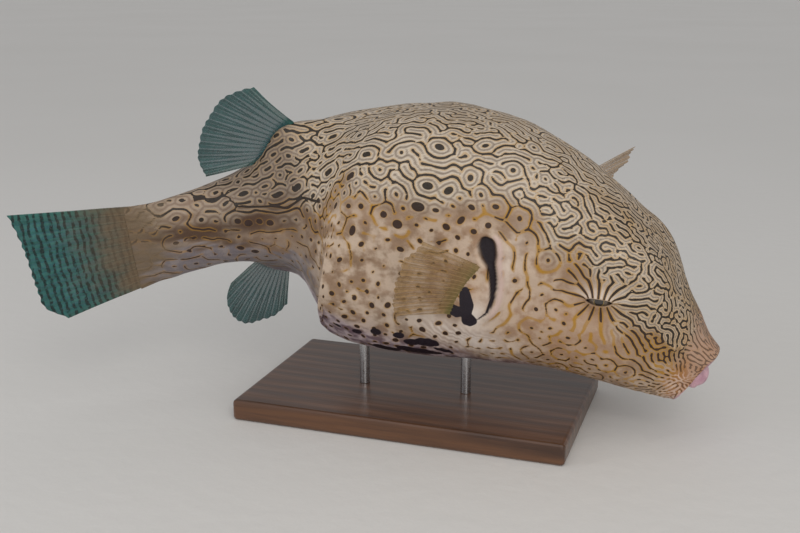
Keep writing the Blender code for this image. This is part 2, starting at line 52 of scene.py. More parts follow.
def fall(value, low, high):
    return rise(-value, -high, -low)


def bump(value, middle, width):
    # 1 at the middle, fading out over the width on both sides
    return np.exp(-(((value - middle) / width) ** 2))


def blend(a, b, share):
    return a + (b - a) * share


def turned(a, b, angle):
    c, s = math.cos(angle), math.sin(angle)
    return a * c - b * s, a * s + b * c


def signedPower(value, power):
    return np.sign(value) * np.abs(value) ** power


def unit(vectors):
    return vectors / (np.linalg.norm(vectors, axis=-1, keepdims=True) + 1e-12)


def smoothValues(at, knownAt, known):
    # a smooth curve through known values that doesn't overshoot them
    knownAt, known = np.asarray(knownAt, float), np.asarray(known, float)
    step = np.diff(knownAt)
    slope = np.diff(known) / step
    tangent = np.zeros_like(known)
    before, after = 2 * step[1:] + step[:-1], step[1:] + 2 * step[:-1]
    sameWay = slope[:-1] * slope[1:] > 0
    safeA, safeB = np.where(sameWay, slope[:-1], 1), np.where(sameWay, slope[1:], 1)
    tangent[1:-1] = np.where(sameWay, (before + after) / (before / safeA + after / safeB), 0)
    tangent[0], tangent[-1] = slope[0], slope[-1]
    at = np.clip(at, knownAt[0], knownAt[-1])
    cell = np.clip(np.searchsorted(knownAt, at, side="right") - 1, 0, len(step) - 1)
    t = (at - knownAt[cell]) / step[cell]
    level = known[cell] * (1 + 2 * t) * (1 - t) ** 2 + known[cell + 1] * t * t * (3 - 2 * t)
    lean = tangent[cell] * t * (1 - t) ** 2 + tangent[cell + 1] * t * t * (t - 1)
    return level + step[cell] * lean


def softNoise(shape, across, around, rng):
    # smooth noise on a grid that is closed in its second direction
    coarse = rng.standard_normal((across + 3, around))
    r = np.linspace(0, across, shape[0]) + 1
    c = np.arange(shape[1]) * around / shape[1]
    ri, ci = np.floor(r).astype(int), np.floor(c).astype(int)

    def weights(f):
        return ((1 - f) ** 3, 3 * f**3 - 6 * f**2 + 4, -3 * f**3 + 3 * f**2 + 3 * f + 1, f**3)

    wr, wc = weights(r - ri), weights(c - ci)
    out = np.zeros(shape)
    for a in range(4):
        row = np.clip(ri + a - 1, 0, across + 2)
        for b in range(4):
            column = (ci + b - 1) % around
            out += wr[a][:, None] * wc[b][None, :] * coarse[np.ix_(row, column)]
    return out / (36 * 0.45)


fish = {
    "snoutX": 233.0, "tailX": -226.0, "lengthScale": 443.0,
    # x, top, bottom, half width, level of the widest point
    "sections": (
        (233, -8, -22, 8, -15), (224, 5, -37, 18, -15), (200, 29, -43, 30, -6),
        (166, 61, -47, 44, 5), (127, 83, -54, 51, 9), (84, 96, -69, 58, 6),
        (42, 102, -85, 64, 0), (0, 97, -99, 71, -8), (-34, 84, -105, 75, -14),
        (-66, 63, -97, 70, -14), (-92, 49, -78, 55, -6), (-118, 36, -50, 35, -4),
        (-160, 24, -41, 22, -6), (-206, 20, -46, 9.5, -11), (-216, 20.6, -48, 4.8, -12),
        (-226, 21.4, -50.6, 1.7, -13),
    ),
    # of the back, the belly and the tail stalk
    "squareness": (2.75, 2.35, 2.1), "rounding": (-40.0, 60.0),
    # middle, reach, push; those on the left are made on both sides
    "swellings": (
        ((163, 36, 56), (17, 14, 15), (1.5, 4.5, 5)),
        ((139, 46, 27), (14, 14, 12), (0, -3.5, 0)),
        ((228, 0, 0), (8, 16, 8), (3.5, 0, 3)),
        ((-80, -58, -38), (18, 26, 40), (-15, -9, -8)),
        ((58, 62, 0), (10, 20, 19), (0, 4.5, 0)),
        ((-101, 0, 50), (15, 9, 26), (-6, 0, 15)),
        ((-119, 0, -50), (13, 8, 18), (-4, 0, -9)),
        ((-40, 58, -84), (20, 18, 20), (4.2, -3.2, 8.0)),
    ),
    "bendStart": -30.0, "bendLength": 84.0, "bendYaw": 40.0, "bendDroop": 20.0,
    "noseDown": 19.5, "lean": 7.0, "spineHeight": 140.0,
}


def lengthShare(x):
    return np.sqrt(np.clip((fish["snoutX"] - np.asarray(x, float)) / fish["lengthScale"], 0, 2))


def skinPoint(x, angle):
    # point of the straight skin; angle 0 is the left side, a quarter turn is the back
    x, angle = np.asarray(x, float), np.asarray(angle, float)
    table = np.array(fish["sections"], float)
    at = lengthShare(table[:, 0])
    top, bottom, half, level = [smoothValues(lengthShare(x), at, table[:, i]) for i in range(1, 5)]
    start, length = fish["rounding"]
    stalk = np.clip((start - x) / length, 0, 1)
    upper, lower, tail = fish["squareness"]
    above = np.sin(angle) >= 0
    power = 2 / np.where(above, blend(upper, tail, stalk), blend(lower, tail, stalk))
    across = signedPower(np.cos(angle), power)
    height = np.where(above, top - level, bottom - level) * np.abs(np.sin(angle)) ** power
    points = np.stack([x + 0 * across, half * across, level + height], -1)
    moved = points.copy()
    for middle, reach, push in fish["swellings"]:
        for side in (1.0, -1.0) if middle[1] > 0 else (1.0,):
            mirror = np.array([1.0, side, 1.0])
            off = (points - np.array(middle) * mirror) / np.array(reach)
            moved += np.exp(-0.5 * (off**2).sum(-1))[..., None] * np.array(push) * mirror
    return moved


def placeFish(points):
    # from the straight fish, millimetres, to its pose over the stand, metres
    flat = np.asarray(points, float).reshape(-1, 3)
    start = fish["bendStart"]
    along = np.linspace(0, start + 370.0, 400)
    turn = rise(along / fish["bendLength"], 0, 1)
    yaw, droop = math.radians(fish["bendYaw"]) * turn, math.radians(fish["bendDroop"]) * turn
    heading = [-np.cos(yaw) * np.cos(droop), -np.sin(yaw) * np.cos(droop), -np.sin(droop)]
    heading = np.stack(heading, 1)
    steps = (heading[1:] + heading[:-1]) / 2 * (along[1] - along[0])
    spine = np.vstack([[0, 0, 0], np.cumsum(steps, 0)]) + [start, 0, 0]
    back = np.clip(start - flat[:, 0], 0, None)
    middle = np.stack([np.interp(back, along, spine[:, i]) for i in range(3)], 1)
    middle[:, 0] += np.clip(flat[:, 0] - start, 0, None)
    yaw, droop = np.interp(back, along, yaw), np.interp(back, along, droop)
    left = np.stack([-np.sin(yaw), np.cos(yaw), 0 * yaw], 1)
    up = [-np.cos(yaw) * np.sin(droop), -np.sin(yaw) * np.sin(droop), np.cos(droop)]
    x, y, z = (middle + left * flat[:, 1:2] + np.stack(up, 1) * flat[:, 2:3]).T
    y, z = turned(y, z, math.radians(fish["lean"]))
    x, z = turned(x, z, -math.radians(fish["noseDown"]))
    posed = np.stack([x, y, z + fish["spineHeight"]], -1) * 0.001
    return posed.reshape(np.shape(points))


def surfaceSpot(x, z, side):
    # point of the flank at a height, and its outward direction
    low, high = -quarter, quarter
    for _ in range(40):
        middle = (low + high) / 2
        if skinPoint(x, middle)[2] < z:
            low = middle
        else:
            high = middle
    here = skinPoint(x, middle)
    outward = np.cross(skinPoint(x, middle + 0.02) - here, skinPoint(x + 1.0, middle) - here)
    outward *= np.sign(outward[1]) / np.linalg.norm(outward)
    mirror = np.array([1.0, side, 1.0])
    return here * mirror, outward * mirror


def gridFaces(own):
    # four-sided faces between the neighbours of a table of points
    return np.stack([own[:-1, :-1], own[:-1, 1:], own[1:, 1:], own[1:, :-1]], 2)


def meshFrom(name, points, faces, mapping=None):
    # faces is a list of arrays of equal-sided faces
    mesh = bpy.data.meshes.new(name)
    mesh.vertices.add(len(points))
    mesh.vertices.foreach_set("co", np.asarray(points, np.float32).ravel())
    corners = np.concatenate([part.ravel() for part in faces]).astype(np.int32)
    sizes = np.concatenate([np.full(len(part), part.shape[1]) for part in faces])
    starts = np.concatenate([[0], np.cumsum(sizes)[:-1]]).astype(np.int32)
    mesh.loops.add(len(corners))
    mesh.loops.foreach_set("vertex_index", corners)
    mesh.polygons.add(len(sizes))
    mesh.polygons.foreach_set("loop_start", starts)
    mesh.polygons.foreach_set("use_smooth", np.ones(len(sizes), bool))
    mesh.update(calc_edges=True)
    if mapping is not None:
        layer = mesh.uv_layers.new(name="OFBake")
        layer.data.foreach_set("uv", np.asarray(mapping, np.float32).ravel())
    made = bpy.data.objects.new(name, mesh)
    scene.collection.objects.link(made)
    return made


def storeValue(obj, name, values):
    layer = obj.data.attributes.new(name, "FLOAT", "POINT")
    layer.data.foreach_set("value", np.asarray(values, np.float32).ravel())


def storeMasks(obj, name, masks):
    # up to three masks in one colour attribute
    filled = [np.clip(m, 0, 1) for m in masks] + [np.ones_like(masks[0])] * (4 - len(masks))
    layer = obj.data.attributes.new(name, "FLOAT_COLOR", "POINT")
    layer.data.foreach_set("color", np.stack(filled, -1).astype(np.float32).ravel())


def paint(*parts):
    # linear colour from red, green and blue between 0 and 255
    shares = [part / 255 for part in parts]
    linear = [s / 12.92 if s < 0.04045 else ((s + 0.055) / 1.055) ** 2.4 for s in shares]
    return (*linear, 1.0)


# short ways to add nodes; each finds its node tree from the sockets that it gets
def isSocket(value):
    return isinstance(value, bpy.types.NodeSocket)


def feed(node, values):
    for key, value in values.items():
        if isSocket(value):
            node.id_data.links.new(value, node.inputs[key])
        else:
            node.inputs[key].default_value = value


def addNode(tree, kind, values=None, **settings):
    made = tree.nodes.new("ShaderNode" + kind)
    for key, value in settings.items():
        setattr(made, key, value)
    feed(made, values or {})
    return made


def beside(kind, values, **settings):
    tree = next(value.id_data for value in values.values() if isSocket(value))
    return addNode(tree, kind, values, **settings)


def calc(operation, a, b=0.0):
    return beside("Math", {0: a, 1: b}, operation=operation).outputs[0]


def times(first, *others):
    for other in others:
        first = calc("MULTIPLY", first, other)
    return first


def mixed(share, a, b):
    # colour a where share is 0, b where it is 1
    return beside("Mix", {0: share, 6: a, 7: b}, data_type="RGBA").outputs[2]


def stepUp(value, low, high, least=0.0, most=1.0):
    values = {"Value": value, "From Min": low, "From Max": high, "To Min": least, "To Max": most}
    return beside("MapRange", values, interpolation_type="SMOOTHSTEP").outputs[0]


def noise(where, scale, detail=2.0, roughness=0.5):
    values = {"Vector": where, "Scale": scale, "Detail": detail, "Roughness": roughness}
    return beside("TexNoise", values).outputs["Fac"]


def relief(height, distance, strength=1.0):
    values = {"Height": height, "Distance": distance, "Strength": strength}
    return beside("Bump", values).outputs[0]


def stored(tree, name, output="Fac"):
    return addNode(tree, "Attribute", attribute_name=name).outputs[output]


def storedMasks(tree, name):
    return addNode(tree, "SeparateColor", {"Color": stored(tree, name, "Color")}).outputs


def newGroup(name, gives, makes, **takes):
    # a node group with one output, which makes() builds from the group's inputs
    group = bpy.data.node_groups.new(name, "ShaderNodeTree")
    for label, kind in {"Vector": "Vector", **takes}.items():
        group.interface.new_socket(label, in_out="INPUT", socket_type="NodeSocket" + kind)
    group.interface.new_socket(gives, in_out="OUTPUT", socket_type="NodeSocketFloat")
    result = makes(group.nodes.new("NodeGroupInput").outputs)
    feed(group.nodes.new("NodeGroupOutput"), {gives: result})
    return group


def placed(group, where, **values):
    return beside("Group", {"Vector": where, **values}, node_tree=group).outputs[0]


def newMaterial(name):
    made = bpy.data.materials.new(name)
    made.use_nodes = True
    where = addNode(made.node_tree, "TexCoord").outputs["Object"]
    return made, made.node_tree.nodes["Principled BSDF"], where


def softPatches(given):
    half = calc("DIVIDE", 0.25, given["Contrast"])
    patches = noise(given["Vector"], given["Scale"], 4.0)
    return stepUp(patches, calc("SUBTRACT", 0.5, half), calc("ADD", 0.5, half))


def grainHeight(given):
    # fine grains and pores as a height
    coarse = noise(given["Vector"], times(given["Scale"], 0.38), 2.0)
    return calc("ADD", noise(given["Vector"], given["Scale"], 3.0), times(coarse, given["Pores"]))


def crossBars(given):
    # wavy and broken cross bars, an even distance apart along a reach
    waver = times(noise(given["Vector"], 120.0, 2.0), given["Waver"])
    turns = calc("DIVIDE", calc("ADD", given["Reach"], waver), given["Apart"])
    wave = calc("SINE", times(turns, 2 * math.pi))
    broken = stepUp(noise(given["Vector"], 300.0, 1.0), 0.34, 0.52, 0.25, 1.0)
    return times(stepUp(wave, -0.2, 0.6), broken)


def fineStreaks(given):
    # fine streaks along a stretched direction
    values = {0: given["Vector"], 1: given["Stretch"]}
    stretched = beside("VectorMath", values, operation="MULTIPLY").outputs[0]
    return noise(stretched, 1.0, given["Detail"], 0.6)


mottle = newGroup("mottle", "Patches", softPatches, Scale="Float", Contrast="Float")
grain = newGroup("grain", "Height", grainHeight, Scale="Float", Pores="Float")
wavyBars = newGroup("wavyBars", "Bars", crossBars, Reach="Float", Apart="Float", Waver="Float")
streaks = newGroup("streaks", "Streaks", fineStreaks, Stretch="Vector", Detail="Float")

view = {
    "azimuth": 18.8, "elevation": 15.35, "distance": 0.80, "aside": -0.017, "above": -0.0282,
    "middle": 0.140, "lens": 48.49,
}
cameraTurn = Euler((quarter - math.radians(view["elevation"]), 0.0, math.radians(view["azimuth"])))
cameraPlace = cameraTurn.to_matrix() @ Vector((view["aside"], view["above"], view["distance"]))
cameraPlace.z += view["middle"]


def addToScene(name, data, place, rotation):
    made = bpy.data.objects.new(name, data)
    made.location, made.rotation_euler = place, rotation
    scene.collection.objects.link(made)
    return made


camera = bpy.data.cameras.new("camera")
camera.lens, camera.sensor_width = view["lens"], 36.0
camera.clip_start, camera.clip_end = 0.02, 200.0
scene.camera = addToScene("camera", camera, cameraPlace, cameraTurn)
scene.view_settings.view_transform = "Standard"

studio = {
    "floorSize": 60.0, "floor": (paint(214, 212, 208), paint(222, 220, 217)),
    "air": (0.90, 0.90, 0.91, 1.0), "airStrength": 0.42, "aim": (0.0, 0.0, 0.13),
    # place, size, watts and colour of the round lamps
    "lamps": {
        "key": ((0.75, -1.45, 0.95), 1.1, 10.0, (1.0, 0.97, 0.93)),
        "fill": ((-1.2, -1.0, 0.6), 1.1, 3.0, (0.93, 0.96, 1.0)),
    },
    "sky": 0.66, "skyAngle": 70, "skyTurn": (30, 12, 0),
}
floorCorners = np.array([(-1, -1, 0), (1, -1, 0), (1, 1, 0), (-1, 1, 0)]) / 2
floorCorners = floorCorners * studio["floorSize"]
floor = meshFrom("floor", floorCorners, [np.array([[0, 1, 2, 3]])])
floorLook, shader, where = newMaterial("floor")
feed(shader, {
    "Base Color": mixed(noise(where, 1.3, 3.0), *studio["floor"]),
    "Roughness": 0.75, "Normal": relief(noise(where, 60.0, 3.0), 0.0006),
})
floor.data.materials.append(floorLook)

world = bpy.data.worlds.new("studio")
world.use_nodes = True
background = world.node_tree.nodes["Background"]
feed(background, {"Color": studio["air"], "Strength": studio["airStrength"]})
scene.world = world

for name, (place, size, watts, colour) in studio["lamps"].items():
    lamp = bpy.data.lights.new(name, "AREA")
    lamp.shape, lamp.size, lamp.energy, lamp.color = "DISK", size, watts, colour
    aim = Vector(studio["aim"]) - Vector(place)
    addToScene(name, lamp, place, aim.to_track_quat("-Z", "Y").to_euler())
sky = bpy.data.lights.new("sky", "SUN")
sky.energy, sky.angle = studio["sky"], math.radians(studio["skyAngle"])
addToScene("sky", sky, (0.0, 0.0, 0.0), [math.radians(turn) for turn in studio["skyTurn"]])
print("camera, floor and light")

# the skin's grid of points, and how the maze of lines grows on it
grid = {
    "rows": 600, "columns": 640, "frontX": 232.0, "seed": 11, "steps": 240, "quickSteps": 130,
    "wavyness": 1.42, "growth": 0.46, "pace": 0.036, "walk": 5.0,
}


def rowPlaces(count):
    # rows along the fish, closer together towards the snout
    x = np.linspace(grid["frontX"], fish["tailX"], 2400)
    spacing = 0.28 + 0.2 * fall(x, 206, 216) + 0.64 * rise(grid["frontX"] - x, 14, 125)
    share = np.concatenate([[0], np.cumsum(1 / spacing[:-1] * -np.diff(x))])
    return np.interp(np.linspace(0, share[-1], count), share, x)


def evenAngles(x, count):
    # angles an even distance apart round each section, from the belly over the left side
    t = np.linspace(0, 2 * math.pi, 1441)
    angle = t - 0.245 * np.sin(4 * t) - quarter
    known = np.unique(np.append(np.arange(0, len(x), 8), len(x) - 1))
    rings = skinPoint(x[known][:, None], angle[None, :])
    length = np.linalg.norm(np.diff(rings, axis=1), axis=2)
    length = np.concatenate([np.zeros((len(known), 1)), np.cumsum(length, 1)], 1)
    want = np.arange(count) / count
    table = np.array([np.interp(want * own[-1], own, angle) for own in length])
    place = np.interp(np.arange(len(x)), known, np.arange(len(known)))
    low = np.clip(np.floor(place).astype(int), 0, len(known) - 2)
    part = (place - low)[:, None]
    return table[low] * (1 - part) + table[low + 1] * part


rowX = rowPlaces(grid["rows"])
angles = evenAngles(rowX, grid["columns"])
plain = skinPoint(rowX[:, None], angles)
gridX, gridY, gridZ = plain[..., 0], plain[..., 1], plain[..., 2]
sideY = np.abs(gridY)
rng = np.random.default_rng(5)
patchy, broad, fine, wander = [softNoise(gridX.shape, across, around, rng)
                               for across, around in ((46, 44), (24, 20), (90, 90), (44, 46))]

eyes = {
    "x": 140.5, "z": 25.0, "radius": 11.0, "depth": 9.6, "lid": 1.6, "tilt": 14.0,
    "slit": (9.6, 3.0), "focus": 8.6, "hole": 15.5, "barWindow": 24,
}
tilt = math.radians(eyes["tilt"])


def eyeFrame(sideSign):
    # middle of the slit on the skin, its outward direction, and along and up the slit
    spot, outward = surfaceSpot(eyes["x"], eyes["z"], sideSign)
    along = np.array([math.cos(tilt), 0.0, math.sin(tilt)])
    along = unit(along - outward * outward.dot(along))
    upward = np.cross(outward, along)
    return spot, outward, along, upward * np.sign(upward[2])


def slitBars(along, upward):
    # dark bars that fan out from the slit: broad above it, thin below; 1 in their middle
    turn = np.abs(np.arccosh((along + 1j * upward) / eyes["focus"]).imag)
    return np.where(upward > 0, np.cos(15 * turn + 0.4), np.cos(13 * turn + 0.9))


eyeFrames = {sideSign: eyeFrame(sideSign) for sideSign in (1, -1)}
slitAlong, slitUp = np.zeros_like(gridX), np.zeros_like(gridX)
for sideSign, (spot, outward, along, upward) in eyeFrames.items():
    onSide = gridY * sideSign > 0
    slitAlong = np.where(onSide, (plain - spot) @ along, slitAlong)
    slitUp = np.where(onSide, (plain - spot) @ upward, slitUp)


def awayFrom(middle, halfSlit=0.0, turn=0.0):
    # offsets and distance from a short line on either side of the fish
    dx, dy, dz = gridX - middle[0], sideY - middle[1], gridZ - middle[2]
    along = np.clip(turned(dx, dz, -turn)[0], -halfSlit, halfSlit)
    dx, dz = dx - along * math.cos(turn), dz - along * math.sin(turn)
    return dx, dy * np.sign(gridY), dz, np.sqrt(dx**2 + dy**2 + dz**2)


def near(x, y, z, reach):
    # 1 at a point on either flank, fading out over the reach
    off = ((gridX - x) / reach[0]) ** 2 + ((sideY - y) / reach[1]) ** 2
    return np.exp(-0.5 * (off + ((gridZ - z) / reach[2]) ** 2))


eyeX, eyeY, eyeZ, eyeAway = awayFrom((eyes["x"], 42.0, 22.0), 5.0, tilt)
gillX, _, gillZ, gillAway = awayFrom((46.0, 60.0, 12.0))
lipX, lipY, lipZ, lipAway = awayFrom((211.0, 24.0, -14.0))

# lower edge of the close lines on the back, and upper edge of the belly, along the fish
backEdge = ((-226, -120, -72, -35, 0, 40, 69, 91, 115, 140, 172, 191, 214, 226),
            (0, 10, 30, 40, 44, 62, 66, 56, 44, 24, 12, 4, -4, -8))
bellyEdge = ((-226, -118, -60, 40, 120, 200, 226), (-60, -42, -52, -45, -40, -36, -40))
level = gridZ - smoothValues(gridX, *backEdge)
dense = rise(level + 5 * patchy, -10, 12)
stalkShare = rise(-gridX, 84, 112)
bellyShare = rise(smoothValues(gridX, *bellyEdge) - gridZ + 5 * patchy, 0, 22)

# pulls on the lines' direction: least strength and what the close lines on the back add;
# at the eye, gill and lips strength, distance and width
pulls = {
    "lengthways": (0.03, 0.09), "wander": (0.12, 0.05), "wanderTurn": 2.6, "stalk": 0.25,
    "eye": (2.4, 0, 19), "gill": (1.3, 38, 17), "lips": (0.8, 0, 24),
}


def guideWays():
    # direction and strength that the lines follow, from several pulls together
    together = np.zeros(gridX.shape + (3, 3), np.float32)

    def pull(x, y, z, weight):
        way = np.stack([x + 0 * gridX, y + 0 * gridX, z + 0 * gridX], -1)
        way = (way / (np.linalg.norm(way, axis=-1, keepdims=True) + 1e-9)).astype(np.float32)
        together[...] += weight[..., None, None] * way[..., :, None] * way[..., None, :]

    def around(key, away):
        strength, distance, width = pulls[key]
        return strength * bump(away, distance, width)

    lengthways = pulls["lengthways"][0] + pulls["lengthways"][1] * dense
    lengthways = lengthways * (1 - 0.85 * rise(gridX, 70, 120)) * (1 + 0.4 * broad)
    pull(1.0, 0.0, 0.0, np.clip(lengthways + pulls["stalk"] * stalkShare, 0.005, 1))
    c, s = np.cos(pulls["wanderTurn"] * wander), np.sin(pulls["wanderTurn"] * wander)
    wandering = pulls["wander"][0] + pulls["wander"][1] * dense
    pull(c, 0.35 * s * np.sign(gridY), s, wandering * (1 - 0.7 * stalkShare))
    pull(eyeX, eyeY, eyeZ, around("eye", eyeAway))
    nearGill = rise(gridX, 46, 66) * fall(gridZ, 44, 66)
    pull(-gillZ, 0.0, gillX, around("gill", gillAway) * nearGill)
    pull(lipX, lipY, lipZ, around("lips", lipAway) * fall(gridZ, -12, 2))
    value, vector = np.linalg.eigh(together)
    strength = np.clip(value[..., 2] - value[..., 1], 0, 1.2)
    return vector[..., 2].astype(float), strength


def lineSpacing():
    wave = smoothValues(gridX, (-226, -120, -80, 0, 60, 110, 150, 185, 205, 226),
                        (5.0, 5.3, 5.4, 5.5, 5.3, 4.9, 4.6, 4.0, 3.1, 2.4))
    wave = wave * (1 + 0.06 * broad)
    wider = smoothValues(-level, (-60, -22, -6, 10, 26, 60, 120),
                         (1.0, 1.0, 1.1, 1.3, 1.4, 1.45, 1.4))
    onFace = smoothValues(-level, (-60, -4, 20, 60), (1.0, 1.0, 1.35, 1.3))
    onStalk = smoothValues(gridZ, (-40, 4, 22, 40), (1.6, 1.6, 1.25, 1.0))
    wider = blend(blend(wider, onFace, rise(gridX, 96, 130)), onStalk, stalkShare)
    wave = wave * (1 + (wider - 1) * fall(gridX, 160, 206))
    return np.minimum(wave, 2.7 + 0.24 * eyeAway)


def gridSlopes(points):
    # change of place from row to row, and from column to column round the fish
    wrapped = np.concatenate([points[:, -1:], points, points[:, :1]], 1)
    return np.gradient(points, axis=0), (wrapped[:, 2:] - wrapped[:, :-2]) / 2


def walkFrom(way, distance):
    # grid offsets of a step of some length along and across a direction
    pr, pc = gridSlopes(plain)
    e, f, g = (pr * pr).sum(-1), (pr * pc).sum(-1), (pc * pc).sum(-1)
    size = np.maximum(e * g - f * f, 1e-9)
    normal = unit(np.cross(pr, pc))
    way = unit(way - normal * (way * normal).sum(-1, keepdims=True))
    walks = []
    for step in (way, np.cross(normal, way)):
        b1, b2 = (step * pr).sum(-1), (step * pc).sum(-1)
        dr, dc = (g * b1 - f * b2) / size * distance, (e * b2 - f * b1) / size * distance
        walks += [(dr, dc), (-dr, -dc)]
    return walks


def lookUps(shape, walks):
    # where on the grid each walk ends: the four points round it and their weights
    rows, columns = shape
    tables = []
    for dr, dc in walks:
        r = np.clip(np.arange(rows)[:, None] + dr, 0, rows - 1.001)
        c = np.arange(columns)[None, :] + dc
        ri, ci = np.floor(r).astype(np.int64), np.floor(c).astype(np.int64)
        rf, cf = r - ri, c - ci
        a, b = ri * columns + ci % columns, ri * columns + (ci + 1) % columns
        index = (a, b, a + columns, b + columns)
        weight = ((1 - rf) * (1 - cf), (1 - rf) * cf, rf * (1 - cf), rf * cf)
        tables.append([(i.ravel(), w.ravel().astype(np.float32)) for i, w in zip(index, weight)])
    return tables


def stepped(field, table):
    total = field.take(table[0][0]) * table[0][1]
    for index, weight in table[1:]:
        total += field.take(index) * weight
    return total


def blurred(field, passes):
    for _ in range(passes):
        field = 0.5 * field + 0.25 * (np.roll(field, 1, 1) + np.roll(field, -1, 1))
        padded = np.vstack([field[:1], field, field[-1:]])
        field = 0.5 * field + 0.25 * (padded[:-2] + padded[2:])
    return field


def growMaze(tables, walk, straightness, spotting, push, steps):
    # lines that part and join at a set distance, grown as a fish's skin grows them
    start = np.random.default_rng(grid["seed"])
    shape = gridX.shape
    u = (0.35 * start.standard_normal(shape).astype(np.float32)).ravel()
    pull, growth, pace = grid["wavyness"] - 4, grid["growth"], grid["pace"]
    ring = np.linalg.norm(np.roll(plain, -1, 1) - plain, axis=-1)
    rung = np.linalg.norm(np.gradient(plain, axis=0), axis=-1)

    def calm(cell):
        # smooths out waves that are shorter than the grid can carry
        rate = 0.003 + 0.0012 * np.maximum(walk / cell - 1, 0) ** 2.5
        return np.minimum(rate, 0.06).astype(np.float32)

    calmRing, calmRung = calm(ring), calm(rung)[2:-2]
    alpha, g, f = (part.ravel().astype(np.float32) for part in (straightness, spotting, push))
    for _ in range(steps):
        ahead = stepped(u, tables[0]) + stepped(u, tables[1])
        aside = stepped(u, tables[2]) + stepped(u, tables[3])
        w = ahead + aside + pull * u
        w2 = pull * w
        for table in tables:
            w2 += stepped(w, table)
        u = u + pace * (growth * u + alpha * (ahead - 2 * u) - w2 + g * u * u - u * u * u + f)
        field = u.reshape(shape)
        wide = np.concatenate([field[:, -2:], field, field[:, :2]], 1)
        rough = wide[:, :-4] + wide[:, 4:] - 4 * (wide[:, 1:-3] + wide[:, 3:-1]) + 6 * field
        field -= calmRing * rough
        rough = field[:-4] + field[4:] - 4 * (field[1:-3] + field[3:-1]) + 6 * field[2:-2]
        field[2:-2] -= calmRung * rough
        np.clip(u, -2.0, 2.0, out=u)
    maze = u.reshape(shape)
    return 0.8 * maze / (np.sqrt(2 * blurred(maze**2, 14)) + 0.15)


def lineWave(maze, tables):
    # a wave that is 1 along the middle of each line and -1 between two, and its strength
    slopeUnit, bendUnit = 1.902, 1.382  # of a wave of height 1 that is five walks long
    field = maze.astype(np.float32).ravel()
    ahead, behind, left, right = (stepped(field, table) for table in tables)
    slopeA, slopeB = (ahead - behind) / slopeUnit, (left - right) / slopeUnit
    aside = left - right
    crossed = (stepped(aside, tables[0]) - stepped(aside, tables[1])) / 4 / bendUnit
    bendA, bendB = (ahead + behind - 2 * field) / bendUnit, (left + right - 2 * field) / bendUnit
    aa = slopeA**2 + bendA**2 + crossed**2
    bb = slopeB**2 + bendB**2 + crossed**2
    ab = slopeA * slopeB + crossed * (bendA + bendB)
    turn = 0.5 * np.arctan2(2 * ab, aa - bb)
    c, s = np.cos(turn), np.sin(turn)
    slope = c * slopeA + s * slopeB
    bend = c * c * bendA + 2 * c * s * crossed + s * s * bendB
    strength = np.hypot(slope, bend)
    return (-bend / (strength + 1e-6)).reshape(maze.shape), strength.reshape(maze.shape)


# the clearest single ovals: x, z, half length, half height, turn
knownOvals = (
    (7, 45, 4.2, 2.9, 0.2), (22, 62, 3.6, 2.6, 0.9), (8, 60, 3.2, 2.2, 0.2),
    (37, 47, 3.4, 2.2, 1.2), (-30, 13, 2.0, 3.6, 0.0), (-76, 41, 3.8, 2.4, 0.5),
    (-49, 45, 4.0, 2.5, 0.7), (-42, 61, 3.8, 2.2, 0.3), (4, 83, 3.2, 2.2, 0.0),
    (-2, 29, 2.7, 2.4, 0.0), (-13, 32, 2.4, 2.4, 0.0), (32, 74, 2.2, 2.6, 0.3),
    (55, 50, 2.0, 2.0, 0.0), (-141, 22, 3.4, 1.9, 0.1), (-118, 22, 4.6, 2.2, 0.2),
    (-104, 28, 4.0, 2.2, 0.5), (-149, 5, 2.7, 2.1, -0.2), (-142, 3, 2.7, 2.4, -0.5),
    (-134, 4, 1.8, 2.0, 0.6), (-127, 3, 2.2, 1.9, 0.0), (-191, 10, 2.8, 1.6, 0.2),
    (-150, -18, 3.0, 1.8, -0.2), (-140, -23, 2.6, 2.0, -0.3),
)
leftShift = (-4.0, 1.5)  # of the left side's ovals, so that the sides differ
keptGap = {"known": 7.0, "loose": 4.0}  # least distance from an oval to the next

# loose ovals by place: x and depth below the back's edge (on the tail stalk below mid
# height), from and to; least radius, what it grows by and the power of chance in that; gap
# and what chance adds; share kept; stretch; turn
looseOvals = (
    (-92, 60, -34, -6, 1.3, 0.9, 1.0, 22, 0, 0.35, 1.0, 0),
    (-92, 62, -6, 34, 1.0, 1.4, 1.6, 10, 0, 0.8, 1.0, 0),
    (-92, 62, 34, 74, 0.9, 0.8, 1.5, 8, 2, 0.85, 1.0, quarter),
    (-92, 62, 74, 190, 1.4, 0.8, 1.5, 8, 2, 0.85, 1.0, quarter),
    (66, 104, 4, 50, 1.0, 0.8, 1.0, 15, 0, 0.4, 1.0, quarter),
    (104, 190, 30, 80, 0.7, 0.6, 1.0, 10, 0, 0.5, 1.0, 0),
    (-200, -92, -12, 34, 0.7, 0.8, 1.5, 9.5, 0, 0.7, 1.0, 0),
    (-200, -92, -99, -12, 1.1, 0.7, 1.0, 10.5, 0, 0.7, 1.4, 0),
)


